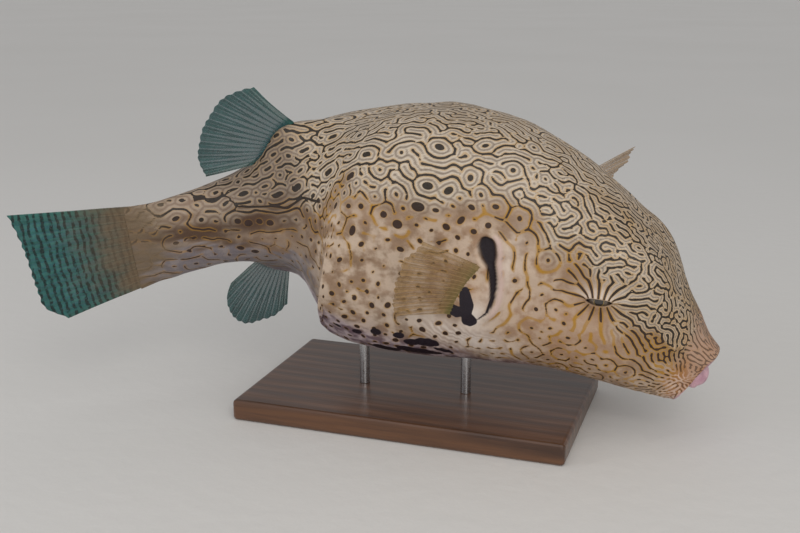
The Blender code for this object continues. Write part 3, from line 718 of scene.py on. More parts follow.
def darkOvals():
    # place, half length, half height, turn and kept gap of every dark oval
    cells = np.cross(np.gradient(plain, axis=0), np.gradient(plain, axis=1))
    area = np.linalg.norm(cells, axis=-1).ravel()
    flat, levels = plain.reshape(-1, 3), level.ravel()
    chosen = []
    for x, z, long, high, turn in knownOvals:
        for side in (1, -1):
            dx, dz = leftShift if side > 0 else (0.0, 0.0)
            spot, _ = surfaceSpot(x + dx, z + dz, side)
            chosen.append((*spot, long, high, turn, keptGap["known"]))
    for k in rng.choice(len(flat), 30000, p=area / area.sum()):
        x, y, z = flat[k]
        depth = -levels[k] if x > -92 else -z
        r1, r2, r3, r4 = rng.random(4)
        kinds = [own[4:] for own in looseOvals
                 if own[0] < x <= own[1] and own[2] < depth <= own[3]]
        if not kinds or rng.random() > kinds[0][5]:
            continue
        radius, more, power, gap, moreGap, _, stretch, turn = kinds[0]
        radius, gap = radius + more * r1**power, gap + moreGap * r2
        stretch, turn = stretch + 0.7 * r3, (r4 - 0.5) * 1.6 + turn
        apart = [(x - o[0]) ** 2 + (y - o[1]) ** 2 + (z - o[2]) ** 2 > max(gap, o[6]) ** 2
                 for o in chosen]
        if all(apart):
            long, high = radius * stretch**0.6, radius / stretch**0.4
            chosen.append((x, y, z, long, high, turn, keptGap["loose"]))
    return chosen


def ovalFields(ovals):
    # what each oval does to the maze round it, and its own level: 0 at its edge
    push, shape = np.zeros_like(gridX), np.full_like(gridX, -1.4)
    for x, y, z, long, high, turn, _ in ovals:
        i = int(np.argmin(np.abs(rowX - x)))
        rows = slice(max(i - 20, 0), i + 20)
        dx, dy, dz = np.moveaxis(plain[rows] - (x, y, z), -1, 0)
        flatZ = np.hypot(dz, dy) * np.sign(dz - 0.3 * dy * np.sign(z))
        a, b = turned(dx, flatZ, -turn)
        size = math.sqrt(long * high)
        far = size * np.sqrt((a / long) ** 2 + (b / high) ** 2)
        push[rows] += 1.4 * bump(far, 0, 0.7 * size + 0.5) - 0.9 * bump(far - size, 2.3, 1.3)
        shape[rows] = np.maximum(shape[rows], 0.85 * (size - far) + 0.22 * fine[rows])
    return push, shape


way, straightness = guideWays()
spacing = lineSpacing()
spotting = 0.5 * rise(-level + 6 * patchy, 4, 30) * (1 - 0.6 * stalkShare)
ovalPush, ovalShape = ovalFields(darkOvals())
jitter = rng.standard_normal(gridX.shape) * 0.22 * (0.3 + 0.7 * dense)
barPush = slitBars(slitAlong, slitUp) * bump(eyeAway, 0, 12)
mazeSteps = grid["steps"]
walk = spacing / grid["walk"]
tables = lookUps(gridX.shape, walkFrom(way, walk))
push = ovalPush + jitter + barPush
maze = growMaze(tables, walk, 0.5 * straightness, spotting, push, mazeSteps)
wave, strength = lineWave(maze, tables)
print("maze of lines")

# ochre lines of an even width with thinner dark ones on them; lower down the dark
# ones break into dashes, and on the belly both end. Width on the back, and how much
# thinner they are lower down and at the snout
lines = {"ochre": (2.6, 0.9, 0.5), "ink": (1.6, 0.35, 0.45), "inkOnBack": 0.15, "sharpness": 1.4}
lower = rise(-level + 5 * patchy, -6, 20)
atSnout = rise(gridX, 190, 214)


def lineWidths(key):
    width, thinnerBelow, thinnerAtSnout = lines[key]
    return width - thinnerBelow * lower - thinnerAtSnout * atSnout


inkWidth = lineWidths("ink") + lines["inkOnBack"] * dense * fall(gridX, -20, 60)
weak = 1.4 * fall(strength, 0.12, 0.30) + 1.5 * rise(bellyShare, 0.1, 0.8)
ended = rise(-level + 6 * patchy, 26, 44) * fall(gridX, 64, 84) * (1 - stalkShare)
weak = weak + 1.2 * ended * rise(0.3 * broad + patchy + 0.3, 0, 0.6)
lineLevel, inkLevel = [
    lines["sharpness"] * (wave - np.cos(np.pi * np.clip(width / spacing, 0, 0.8)) - weak)
    for width in (lineWidths("ochre"), inkWidth)]
# one long wavy line along the tail stalk
stalkZ = smoothValues(gridX, (-180, -174, -163, -155, -150, -146, -131, -117, -101, -88),
                      (19, 20.6, 19.2, 21.5, 17.8, 14.2, 14.6, 14, 23, 25))
stalkLine = 1.1 - 1.3 * np.abs(gridZ - stalkZ + 0.5 * fine)
stalkLine = np.where((gridX < -86) & (gridX > -176), stalkLine, -2)
dashes = np.clip(0.36 + 0.7 * patchy + 0.6 * fine, 0, 1.2) * rise(-level, -10, 12)
dashes = dashes * (1 - 0.6 * stalkShare)
inkLevel = np.minimum(inkLevel, 2.0 * (maze - 1.05 * dashes) + 0.3)
barEdges = {"lineLevel": (0.15, 0.35), "inkLevel": (0.42, 0.68)}


def withBars(key, values, along, upward):
    # a line field with the exact bars close to the slit laid over it
    away = np.hypot(np.maximum(np.abs(along) - 5.0, 0), upward)
    above, below = barEdges[key]
    bars = slitBars(along, upward) - np.where(upward > 0, above, below)
    return blend(values, bars, np.exp(-((away / 9.0) ** 4)))


fields = {}
atEye = np.abs(gridX - eyes["x"]) < eyes["barWindow"]
for key, values in (("lineLevel", lineLevel), ("inkLevel", inkLevel)):
    values = np.maximum(np.maximum(values, stalkLine), ovalShape)
    fields[key] = np.where(atEye, withBars(key, values, slitAlong, slitUp), values)

mouth = {
    "middle": (222.0, 0.0, -18.0), "tilt": 34.0, "collarX": 210.0, "collarEnd": (220.5, 6.5),
    "ring": (10.6, 4.0), "tube": (4.2, 4.4), "forward": 5.6, "line": 0.35, "depth": 5.0,
}


def lipPoints(share, angle):
    # rings from behind the lips over their front to the closed line of the mouth
    turn = math.radians(mouth["tilt"])
    forward = np.array([math.cos(turn), 0.0, -math.sin(turn)])
    upward = np.array([math.sin(turn), 0.0, math.cos(turn)])
    roll = np.radians(np.interp(share, (0.0, 0.5, 0.94, 1.0), (-52.0, -52.0, 180.0, 180.0)))
    across, height = signedPower(np.cos(angle), 0.9), signedPower(np.sin(angle), 0.9)
    fullness = 0.62 + 0.38 * np.abs(np.sin(angle))
    wide = (mouth["ring"][0] + mouth["tube"][0] * np.cos(roll)) * across
    tall = (mouth["ring"][1] - mouth["line"] + mouth["tube"][1] * np.cos(roll))
    tall = (np.maximum(tall, 0.0) + mouth["line"]) * height
    out = mouth["forward"] * fullness * np.sin(roll) - mouth["depth"] * rise(share, 0.94, 1.0)
    offset = out[..., None] * forward + wide[..., None] * (0, 1, 0) + tall[..., None] * upward
    return np.array(mouth["middle"]) + offset


# middle of the gill slot from its top down: x, z and half its width
gill = ((57.0, 38.5, 3.8), (59.2, 35.8, 6.0), (62.2, 30.5, 5.4), (66.4, 24.5, 3.1),
        (70.2, 17.5, 2.5), (73.4, 8.0, 2.3), (75.0, -1.0, 1.8), (74.6, -9.0, 0.9),
        (70.5, -18.0, 0.5))


def gillField():
    # distance ahead of the slot's middle, half the slot's width there, and the share along it
    table = np.array(gill)
    shares, knots = np.linspace(0, 1, 120), np.linspace(0, 1, len(gill))
    x, z, half = (smoothValues(shares, knots, table[:, i]) for i in range(3))
    curve = np.stack([x, z], 1)
    ahead, along, width = np.full(gridX.shape, 99.0), np.zeros_like(gridX), np.ones_like(gridX)
    window = (np.abs(gridX - 67) < 26) & (np.abs(gridZ - 10) < 46)
    off = np.stack([gridX[window], gridZ[window]], -1)[:, None, :] - curve[None]
    far = np.hypot(off[..., 0], off[..., 1])
    nearest = (far - 0.6 * half).argmin(1)
    tangent = unit(np.gradient(curve, axis=0))[nearest]
    each = np.arange(len(nearest))
    picked = off[each, nearest]
    sign = np.sign(picked[:, 1] * tangent[:, 0] - picked[:, 0] * tangent[:, 1])
    ahead[window] = far[each, nearest] * np.where(sign == 0, 1, sign)
    along[window], width[window] = shares[nearest], half[nearest]
    return ahead, width, along


# the front rows run over a collar into the lips
front = (rowX - mouth["collarX"]) / (grid["frontX"] - mouth["collarX"])
front = np.clip(front, 0, 1)[:, None] + 0 * gridX
frontRows = slice(0, int((front[:, 0] > 0).sum()))
lipShare, frontAngles = front[frontRows], angles[frontRows]
collarEnd = mouth["collarEnd"][0] + mouth["collarEnd"][1] * np.sin(frontAngles)
collarX = blend(mouth["collarX"], collarEnd, 1 - (1 - np.clip(lipShare / 0.5, 0, 1)) ** 2)
skinShape = plain.copy()
skinShape[frontRows] = blend(skinPoint(collarX, frontAngles), lipPoints(lipShare, frontAngles),
                             rise(lipShare, 0.34, 0.60)[..., None])

# the gill slot with its raised rim, folds at the tail's bend, grain, and the nasal flaps
gillAhead, slotSize, gillAlong = gillField()
slot = fall(np.abs(gillAhead) / slotSize + 0.06 * fine, 0.72, 1.12)
fromEdge = gillAhead - slotSize
rimFade = rise(gillAlong, 0.0, 0.12) * fall(gillAlong, 0.85, 1.0)
rim = bump(fromEdge, 2.6, 2.6) * rimFade
behind = bump(fromEdge + 2 * slotSize, -2.0, 2.2) * rimFade * (gillAhead < 0)
crease = bump(fromEdge, 8.0, 1.5) * rimFade
foldRegion = near(-92, 50, -20, (16, 40, 42)) + 0.7 * near(60, 62, -40, (26, 40, 20))
flaps = sum(near(200.5 + 2.2 * side, 0, 9.0 + 0.9 * side, (0.95, 99, 1.5)) for side in (-1, 1))
# height of each form in millimetres, and where it is
forms = {
    "rim": (2.2, rim), "behind": (0.9, behind), "crease": (-0.45, crease),
    "slot": (-3.4, slot * np.minimum(slotSize / 2.6, 1.2)),
    "folds": (0.5, foldRegion * np.sin(gridX * 1.1 + 2.2 * broad)),
    "grain": (0.10, fine), "waves": (0.16, patchy), "nasalFlaps": (3.0, flaps * (sideY > 12)),
}
lift = sum(height * share for height, share in forms.values())
lift = lift * fall(front, 0.1, 0.4)

normals = unit(np.cross(*gridSlopes(skinShape)))
outwards = (normals * (skinShape - skinShape.mean(1, keepdims=True))).sum(-1)
normals *= np.sign(outwards[grid["rows"] // 2].sum())
skinShape = skinShape + normals * lift[..., None]


def domeHeight(radial):
    # height over the tangent plane of the lids' dome, met smoothly by the cheek
    ball = eyes["radius"] + eyes["lid"]
    return np.sqrt(np.maximum(ball**2 - np.minimum(radial, ball * 0.97) ** 2, 0)) - eyes["depth"]


dome = {"reach": 16, "full": 12.4, "under": -14, "smooth": 1.2}
for sideSign, (spot, outward, along, upward) in eyeFrames.items():
    off = skinShape - spot
    radial, c = np.hypot(off @ along, off @ upward), off @ outward
    gap = np.clip((domeHeight(radial) - c) / dome["smooth"], -30, 30)
    raised = dome["smooth"] * np.log1p(np.exp(gap)) * fall(radial, dome["full"], dome["reach"])
    inWindow = (radial < dome["reach"]) & (gridY * sideSign > 0) & (c > dome["under"])
    skinShape = skinShape + np.where(inWindow, raised, 0)[..., None] * outward
print("shape of the skin")


def inPatch(middle, reach, turn=0.0, edge=0.3, ragged=0.3):
    # an irregular patch on both flanks: 1 inside, 0 outside
    long, high = turned(gridX - middle[0], gridZ - middle[1], -turn)
    away = np.hypot(long / reach[0], high / reach[1]) + ragged * (0.5 * patchy + 0.5 * fine)
    return fall(away, 1 - edge, 1 + edge)


# middle, reach, turn of the black patches under the pectoral fin and on the belly's edge
blackPatches = (
    ((62.0, -11.5), (13.0, 4.3), -1.26), ((64.0, -18.0), (7.5, 5.2), -1.26),
    ((54.0, -17.5), (6.4, 4.6), -0.1), ((42.0, -56.0), (9.5, 5.2), 0.35),
    ((53.0, -60.0), (9.0, 2.6), 0.1), ((30.0, -61.0), (6.0, 3.2), 0.3),
    ((21.0, -58.0), (4.4, 3.2), 0.5), ((34.0, -72.0), (16.0, 5.0), 0.2),
    ((14.0, -80.0), (12.0, 4.0), 0.3), ((4.0, -62.0), (3.6, 2.8), 0.6),
    ((-10.0, -70.0), (4.6, 2.6), 0.5), ((-26.0, -74.0), (4.0, 2.6), 0.2),
)
stripe = smoothValues(gridZ, (-20, 14, 45, 60), (92, 90, 69, 45))
stripe = fall(np.abs(gridX - stripe - 2 * patchy), 1.5, 5.5)
cream = 0.6 * stripe * rise(gridZ, -24, -8) * fall(gridZ, 50, 64)
creamFlank = rise(-level + 4 * patchy, 0, 26) * (1 - 0.7 * near(146, 50, -8, (34, 44, 30)))
# pale patches: the chest, a painted highlight behind the gill slot's lower end, and a weaker band
# ahead of the slot
paleAndHighlight = near(62, 60, -38, (26, 40, 9)) + near(67, 60, -15, (4.0, 30, 6.5))
paleAndHighlight = paleAndHighlight + 0.5 * near(76, 60, 16, (5, 30, 26))
brown = inPatch((-134, 3), (25, 9), 0.0, 0.5, 0.5)
brown = brown + 0.6 * inPatch((-170, -4), (22, 9), 0.1, 0.6, 0.6)
streaky = np.sin((gridZ + 0.35 * gridX + 1.6 * wander + 0.8 * fine) * 1.5) + 0.7 * patchy
chest = near(72, 52, -46, (34, 40, 12))
underStalk = -gridZ - 0.08 * (gridX + 92) + 3 * fine
fields.update({
    "dense": dense, "stalk": stalkShare, "belly": bellyShare,
    "cream": np.maximum(cream, creamFlank) * (1 - 0.75 * stalkShare),
    "dark": np.max([inPatch(*patch) for patch in blackPatches], 0),
    "patchy": 0.5 + 0.4 * broad, "between": rise(-wave, 0.5, 1.0),
    "lips": rise(front + 0.03 * broad - 0.06 * np.sin(angles), 0.31, 0.40),
    # painted shade: dark inside the gill slot and where the lips close into the mouth
    "hollow": np.maximum(slot * rise(gillAlong, -0.1, 0.0), rise(front, 0.91, 0.95)),
    "snout": rise(gridX + 2 * patchy, 196, 214), "rim": rise(rim, 0.25, 0.9),
    "finFade": rise(-gridX + 5 * patchy + 3 * fine, 192, 224),
    "brown": np.clip(brown, 0, 1) * (gridX < -86),
    # pale chest and pale stripes above each eye's slit, with a painted highlight behind the gill
    # slot's lower end
    "paleAndHighlight": np.clip(paleAndHighlight + 0.9 * rise(slitUp, 0.5, 3.0) * bump(eyeAway, 0, 15), 0, 1),
    "cheek": np.clip(near(128, 50, -6, (34, 60, 30)) + near(60, 62, 10, (20, 40, 22)), 0, 1),
    "streak": rise(streaky, 0.1, 0.9) * rise(chest, 0.15, 0.6),
    "under": rise(underStalk, 16, 26) * stalkShare,
})


def atGrid(field, r, c):
    # value of a grid field between its rows and columns
    rows, columns = field.shape[:2]
    ri = np.clip(np.floor(r).astype(int), 0, rows - 2)
    ci = np.floor(c).astype(int)
    rf, cf = r - ri, c - ci
    if field.ndim == 3:
        rf, cf = rf[..., None], cf[..., None]
    a, b = ci % columns, (ci + 1) % columns
    low = field[ri, a] * (1 - cf) + field[ri, b] * cf
    return low * (1 - rf) + (field[ri + 1, a] * (1 - cf) + field[ri + 1, b] * cf) * rf


def gridPlace(wanted, given, r, c):
    # grid places where two fields have the wanted values, by Newton's method
    for _ in range(12):
        off, dr, dc = [], [], []
        for want, field in zip(wanted, given):
            off.append(want - atGrid(field, r, c))
            dr.append(atGrid(field, r + 0.5, c) - atGrid(field, r - 0.5, c))
            dc.append(atGrid(field, r, c + 0.5) - atGrid(field, r, c - 0.5))
        size = dr[0] * dc[1] - dr[1] * dc[0]
        r = r + np.clip((off[0] * dc[1] - off[1] * dc[0]) / size, -3, 3)
        c = c + np.clip((off[1] * dr[0] - off[0] * dr[1]) / size, -3, 3)
    return r, c


def rimLoop(quads):
    # the open edge round some faces, point after point
    edges = {(int(quad[k]), int(quad[(k + 1) % 4])) for quad in quads for k in range(4)}
    nextOf = {one: other for one, other in edges if (other, one) not in edges}
    loop = [next(iter(nextOf))]
    while nextOf[loop[-1]] != loop[0]:
        loop.append(nextOf[loop[-1]])
    return np.array(loop)


def closedFaces(table):
    # faces between the rows of a table whose columns close into rings
    return gridFaces(np.concatenate([table, table[:, :1]], 1))


def fanFrom(ring, middle):
    return np.stack([ring, np.roll(ring, -1), np.full(len(ring), middle)], -1)


# the skin is one closed mesh: the grid, finer rings of faces over each eye's lids, and fans
# inside the lids, in the mouth and at the end in the tail fin
rows, columns = gridX.shape
index = np.arange(rows * columns).reshape(rows, columns)
quads = closedFaces(index).reshape(-1, 4)
places = np.stack(np.meshgrid(np.arange(rows), np.arange(columns + 1), indexing="ij"), -1)
quadMap = gridFaces(places).reshape(-1, 4, 2).astype(float)
keep = np.ones(len(quads), bool)
extraPoints, extraQuads, extraMap, ends = [], [], [], []
extraFields = {key: [] for key in fields}
extraStart = rows * columns
lid = {
    "rings": 26, "closing": 1.15, "fold": (0.9, 0.7), "foldSteps": 5, "sinkSteps": 3,
    "sink": (0.35, 0.8), "swell": 0.55, "swellShare": 0.16, "margin": 0.9,
}
for sideSign, (spot, outward, along, upward) in eyeFrames.items():
    fieldA, fieldB = (plain - spot) @ along, (plain - spot) @ upward
    away = np.where(gridY * sideSign > 0, np.hypot(fieldA, fieldB), 99.0)
    inHole = (away.ravel()[quads] < eyes["hole"]).any(1)
    keep &= ~inHole
    loop = rimLoop(quads[inHole])
    loopR, loopC = loop // columns, loop % columns
    theta = np.unwrap(np.arctan2(fieldB.ravel()[loop], fieldA.ravel()[loop]))
    fullTurn = np.sign(theta[-1] - theta[0]) * 2 * math.pi
    for _ in range(14):
        before, after = np.roll(theta, 1), np.roll(theta, -1)
        before[0] -= fullTurn
        after[-1] += fullTurn
        theta = 0.5 * theta + 0.25 * (before + after)
    # rings that close from the hole's edge to the slit
    shares = np.linspace(0, 1, lid["rings"])
    grow = shares[:, None] ** lid["closing"]
    outer = eyes["hole"] - lid["margin"]
    slitB = eyes["slit"][1] * signedPower(np.sin(theta), lid["closing"])
    ringA = blend(outer * np.cos(theta), eyes["slit"][0] * np.cos(theta), grow)
    ringB = blend(outer * np.sin(theta), slitB, grow)
    r, c = gridPlace((ringA, ringB), (fieldA, fieldB), loopR + 0.0 * ringA, loopC + 0.0 * ringA)
    swell = bump(shares, 1, lid["swellShare"])[:, None, None] * lid["swell"]
    shape = atGrid(skinShape, r, c) + swell * outward
    # the lid's edge turns in over the eyeball
    edgeNormal = unit(np.stack([np.cos(theta), np.sin(theta) * 1.8], 1))
    inwards = -(edgeNormal[:, :1] * along + edgeNormal[:, 1:] * upward)
    turnedIn = []
    for step in range(1, lid["foldSteps"] + lid["sinkSteps"] + 1):
        bend = min(step / lid["foldSteps"], 1.0) * quarter
        deeper = max(step - lid["foldSteps"], 0)
        reach = lid["fold"][0] * math.sin(bend) - lid["sink"][0] * deeper
        sink = lid["fold"][1] * (1 - math.cos(bend)) + lid["sink"][1] * deeper
        turnedIn.append(shape[-1] + inwards * reach - outward * sink)
    layers = np.concatenate([shape, turnedIn], 0)
    middle = extraStart + len(layers) * len(loop)
    extraPoints += [layers.reshape(-1, 3), layers[-1].mean(0)[None]]
    for key, field in fields.items():
        values = atGrid(field, r, c)
        inner, last = np.repeat(values[-1:], len(turnedIn), 0), -0.5
        if key in barEdges:
            values, inner = withBars(key, values, ringA, ringB), 0 * inner - 0.4
        # painted shade: the lid's turned-in edge darkens towards the eyeball
        if key == "hollow":
            inner, last = np.linspace(0.2, 1.0, len(turnedIn))[:, None] + 0 * inner, 1.0
        extraFields[key] += [values.ravel(), inner.ravel(), [last]]
    own = np.arange(extraStart, middle).reshape(len(layers), -1)
    extraQuads.append(closedFaces(np.vstack([loop[None], own])).reshape(-1, 4))
    places = [np.vstack([start[None], place, np.repeat(place[-1:], len(turnedIn), 0)])
              for start, place in ((loopR, r), (loopC, c))]
    extraMap.append(closedFaces(np.stack(places, -1)).reshape(-1, 4, 2))
    ends.append(fanFrom(own[-1], middle))
    extraStart = middle + 1

for row in (0, rows - 1):
    extraPoints.append(skinShape[row].mean(0)[None])
    for key, field in fields.items():
        extraFields[key].append([float(field[row].mean())])
    fan = fanFrom(index[row], extraStart)
    ends.append(fan if row else fan[:, ::-1])
    extraStart += 1

allPoints = placeFish(np.vstack([skinShape.reshape(-1, 3)] + extraPoints))
faces = [np.vstack([quads[keep]] + extraQuads)] + ends
allMap = (np.vstack([quadMap[keep]] + extraMap) / (rows, columns)).reshape(-1, 2)
fanMap = np.zeros((sum(fan.size for fan in ends), 2)) + 0.5 / columns
used = np.unique(np.concatenate([part.ravel() for part in faces]))
renumber = np.zeros(extraStart, np.int64)
renumber[used] = np.arange(len(used))
skin = meshFrom("skin", allPoints[used], [renumber[part] for part in faces],
                np.vstack([allMap, fanMap]))
valueOf = {key: np.concatenate([field.ravel()] + [np.ravel(v) for v in extraFields[key]])[used]
           for key, field in fields.items()}
# the colour attributes that carry the masks, three in each
maskSets = {
    "regions": ("dense", "stalk", "belly"), "marks": ("cream", "dark", "patchy"),
    "parts": ("lips", "hollow", "snout"), "ends": ("finFade", "rim", "brown"),
    "grounds": ("cheek", "streak", "under"), "washes": ("paleAndHighlight", "between"),
}
for name in barEdges:
    storeValue(skin, name, valueOf[name])
for name, keys in maskSets.items():
    storeMasks(skin, name, [valueOf[key] for key in keys])
check = bmesh.new()
check.from_mesh(skin.data)
volume = check.calc_volume(signed=True)
if volume < 0:
    bmesh.ops.reverse_faces(check, faces=check.faces)
    check.to_mesh(skin.data)
openEdges = sum(1 for edge in check.edges if not edge.is_manifold)
print("skin", round(abs(volume) * 1e6), "cm3,", len(check.faces), "faces, open edges", openEdges)
check.free()

skinPaint = {
    "flankDark": paint(132, 106, 82), "flankLight": paint(164, 136, 112),
    "cheek": paint(176, 138, 108), "streak": paint(140, 106, 84),
    "backMiddle": paint(132, 117, 103), "backEdge": paint(204, 190, 172),
    "stalkDark": paint(86, 64, 48), "stalkLight": paint(136, 112, 92),
    "stalkUnder": paint(122, 114, 118), "brown": paint(78, 54, 38),
    "snout": paint(208, 170, 152), "snoutDark": paint(184, 144, 122),
    # the pale colour serves pale skin and a painted highlight behind the gill slot
    "cream": paint(222, 202, 182), "paleAndHighlight": paint(232, 220, 210),
    "bellyDark": paint(118, 98, 108), "bellyLight": paint(198, 182, 186),
    "ochre": paint(172, 126, 34), "snoutOchre": paint(156, 104, 46),
    "ink": paint(46, 28, 26), "backInk": paint(24, 18, 15), "patch": paint(34, 26, 36),
    # the hollow colour is painted shade for the gill slot, the mouth line and the lid folds
    "rim": paint(208, 182, 172), "finRoot": paint(116, 98, 76), "hollow": paint(30, 20, 28),
    "lip": paint(218, 178, 188), "lipDark": paint(180, 138, 152),
}
skinLook, shader, where = newMaterial("mapSkin")
tree = skinLook.node_tree
line, inkLine = stored(tree, "lineLevel"), stored(tree, "inkLevel")
mask = {}
for name, keys in maskSets.items():
    mask.update(zip(keys, storedMasks(tree, name)))
cloudy = placed(mottle, where, Scale=85.0, Contrast=1.2)
speckle = placed(mottle, where, Scale=380.0, Contrast=1.0)
blotches = placed(mottle, where, Scale=95.0, Contrast=2.2)


def skinMix(share, first, second):
    return mixed(share, skinPaint[first], skinPaint[second])


stalkGround = mixed(mask["under"], skinMix(mask["patchy"], "stalkDark", "stalkLight"),
                    skinPaint["stalkUnder"])
backShare = times(mask["dense"], stepUp(mask["stalk"], 0.0, 1.0, 1.0, 0.35),
                  stepUp(mask["snout"], 0.0, 1.0, 1.0, 0.35))
# thin ochre lines, stronger in places, with dark ones on them
ochreShare = times(stepUp(mask["dense"], 0.0, 1.0, 0.95, 0.6),
                   stepUp(cloudy, 0.0, 1.0, 0.65, 1.0),
                   stepUp(mask["stalk"], 0.0, 1.0, 1.0, 0.55))
wash = times(stepUp(line, -1.2, -0.2), stepUp(cloudy, 0.0, 1.0, 0.1, 0.55))
ochreShare = times(ochreShare, calc("MAXIMUM", wash, stepUp(line, -0.32, -0.02)))
inkShare = times(stepUp(inkLine, -0.07, 0.07), stepUp(mask["snout"], 0.3, 1.0, 0.96, 0.65))
# share, colour and amount of what is laid over the flank's ground, one after another
layers = (
    (mask["cheek"], skinPaint["cheek"], 0.75), (speckle, skinPaint["flankLight"], 0.25),
    (mask["stalk"], stalkGround, 1), (mask["brown"], skinPaint["brown"], 0.7),
    (mask["snout"], skinMix(cloudy, "snoutDark", "snout"), 1),
    (times(mask["cream"], blotches), skinPaint["cream"], 0.62),
    (backShare, skinMix(mask["between"], "backEdge", "backMiddle"), 1),
    (mask["belly"], skinMix(blotches, "bellyDark", "bellyLight"), 1),
    # pale skin, with a painted highlight behind the gill slot
    (mask["paleAndHighlight"], skinPaint["paleAndHighlight"], 0.9), (mask["streak"], skinPaint["streak"], 0.45),
    (ochreShare, skinMix(mask["snout"], "ochre", "snoutOchre"), 1),
    (inkShare, skinMix(mask["dense"], "ink", "backInk"), 1),
    (stepUp(mask["dark"], 0.4, 0.6), skinPaint["patch"], 1),
    (mask["rim"], skinPaint["rim"], 0.85), (mask["finFade"], skinPaint["finRoot"], 0.92),
    (mask["lips"], skinMix(cloudy, "lipDark", "lip"), 1),
    # painted shade in the gill slot, the mouth line and the lid folds
    (mask["hollow"], skinPaint["hollow"], 1),
)
coloured = skinMix(cloudy, "flankDark", "flankLight")
for share, colour, amount in layers:
    coloured = mixed(share if amount == 1 else times(share, amount), coloured, colour)
feed(shader, {
    "Base Color": coloured, "Roughness": stepUp(speckle, 0.0, 1.0, 0.44, 0.6),
    "IOR": 1.4, "Coat Weight": 0.08, "Coat Roughness": 0.35,
    "Normal": relief(placed(grain, where, Scale=900.0, Pores=1.2), 0.0004, 0.7),
})
skin.data.materials.append(skinLook)
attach(skin, "root")
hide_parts("head", "trunk", "tail_stalk")
print("colours of the skin")

fins = {
    "caudal_fin": {
        "root": ((-206, 0, 18), (-206, 0, -45)), "outward": (-1, 0, 0), "angles": (-9.5, 12),
        "lengths": (98, 93, 92, 92, 78), "bow": -6, "twist": 0, "rays": 13, "sink": 4,
        "flutter": 0.8,
    },
    "dorsal_fin": {
        "root": ((-98, 0, 62), (-122, 0, 36)), "outward": (-0.64, 0, 0.77), "angles": (-12, 50),
        "lengths": (38, 51, 53, 51, 42), "bow": 5, "twist": 0, "rays": 16, "sink": 8,
        "flutter": 0.8,
    },
    "anal_fin": {
        "root": ((-112, 0, -54), (-134, 0, -46)), "outward": (-0.45, 0, -0.9),
        "angles": (-10, 40), "lengths": (40, 54, 60, 50, 30), "bow": 4, "twist": 0, "rays": 14,
        "sink": 8, "flutter": 0.8,
    },
    "pectoral_fin_right": {
        "root": ((60, -62, 21), (52, -61, -21)), "outward": (-0.62, -0.78, 0),
        "angles": (-18, 2), "lengths": (66, 74, 70, 62, 50), "bow": -8, "twist": 0, "rays": 15,
        "sink": 7, "flutter": 0.9,
    },
    "pectoral_fin_left": {
        "root": ((62, 62, 21), (54, 61, -21)), "outward": (0.6, 0.8, 0), "angles": (-58, -46),
        "lengths": (92, 93, 86, 72, 55), "bow": 8, "twist": -8, "rays": 15, "sink": 7,
        "flutter": 0.9,
    },
}
finGrid = {
    "rows": 72, "perRay": 14, "web": 0.22, "ray": (1.0, 0.3), "edgeBow": 0.5, "scallop": 0.012,
    "fork": 0.22, "secondFork": 0.09, "rayWidth": 0.075, "foot": 0.9,
}


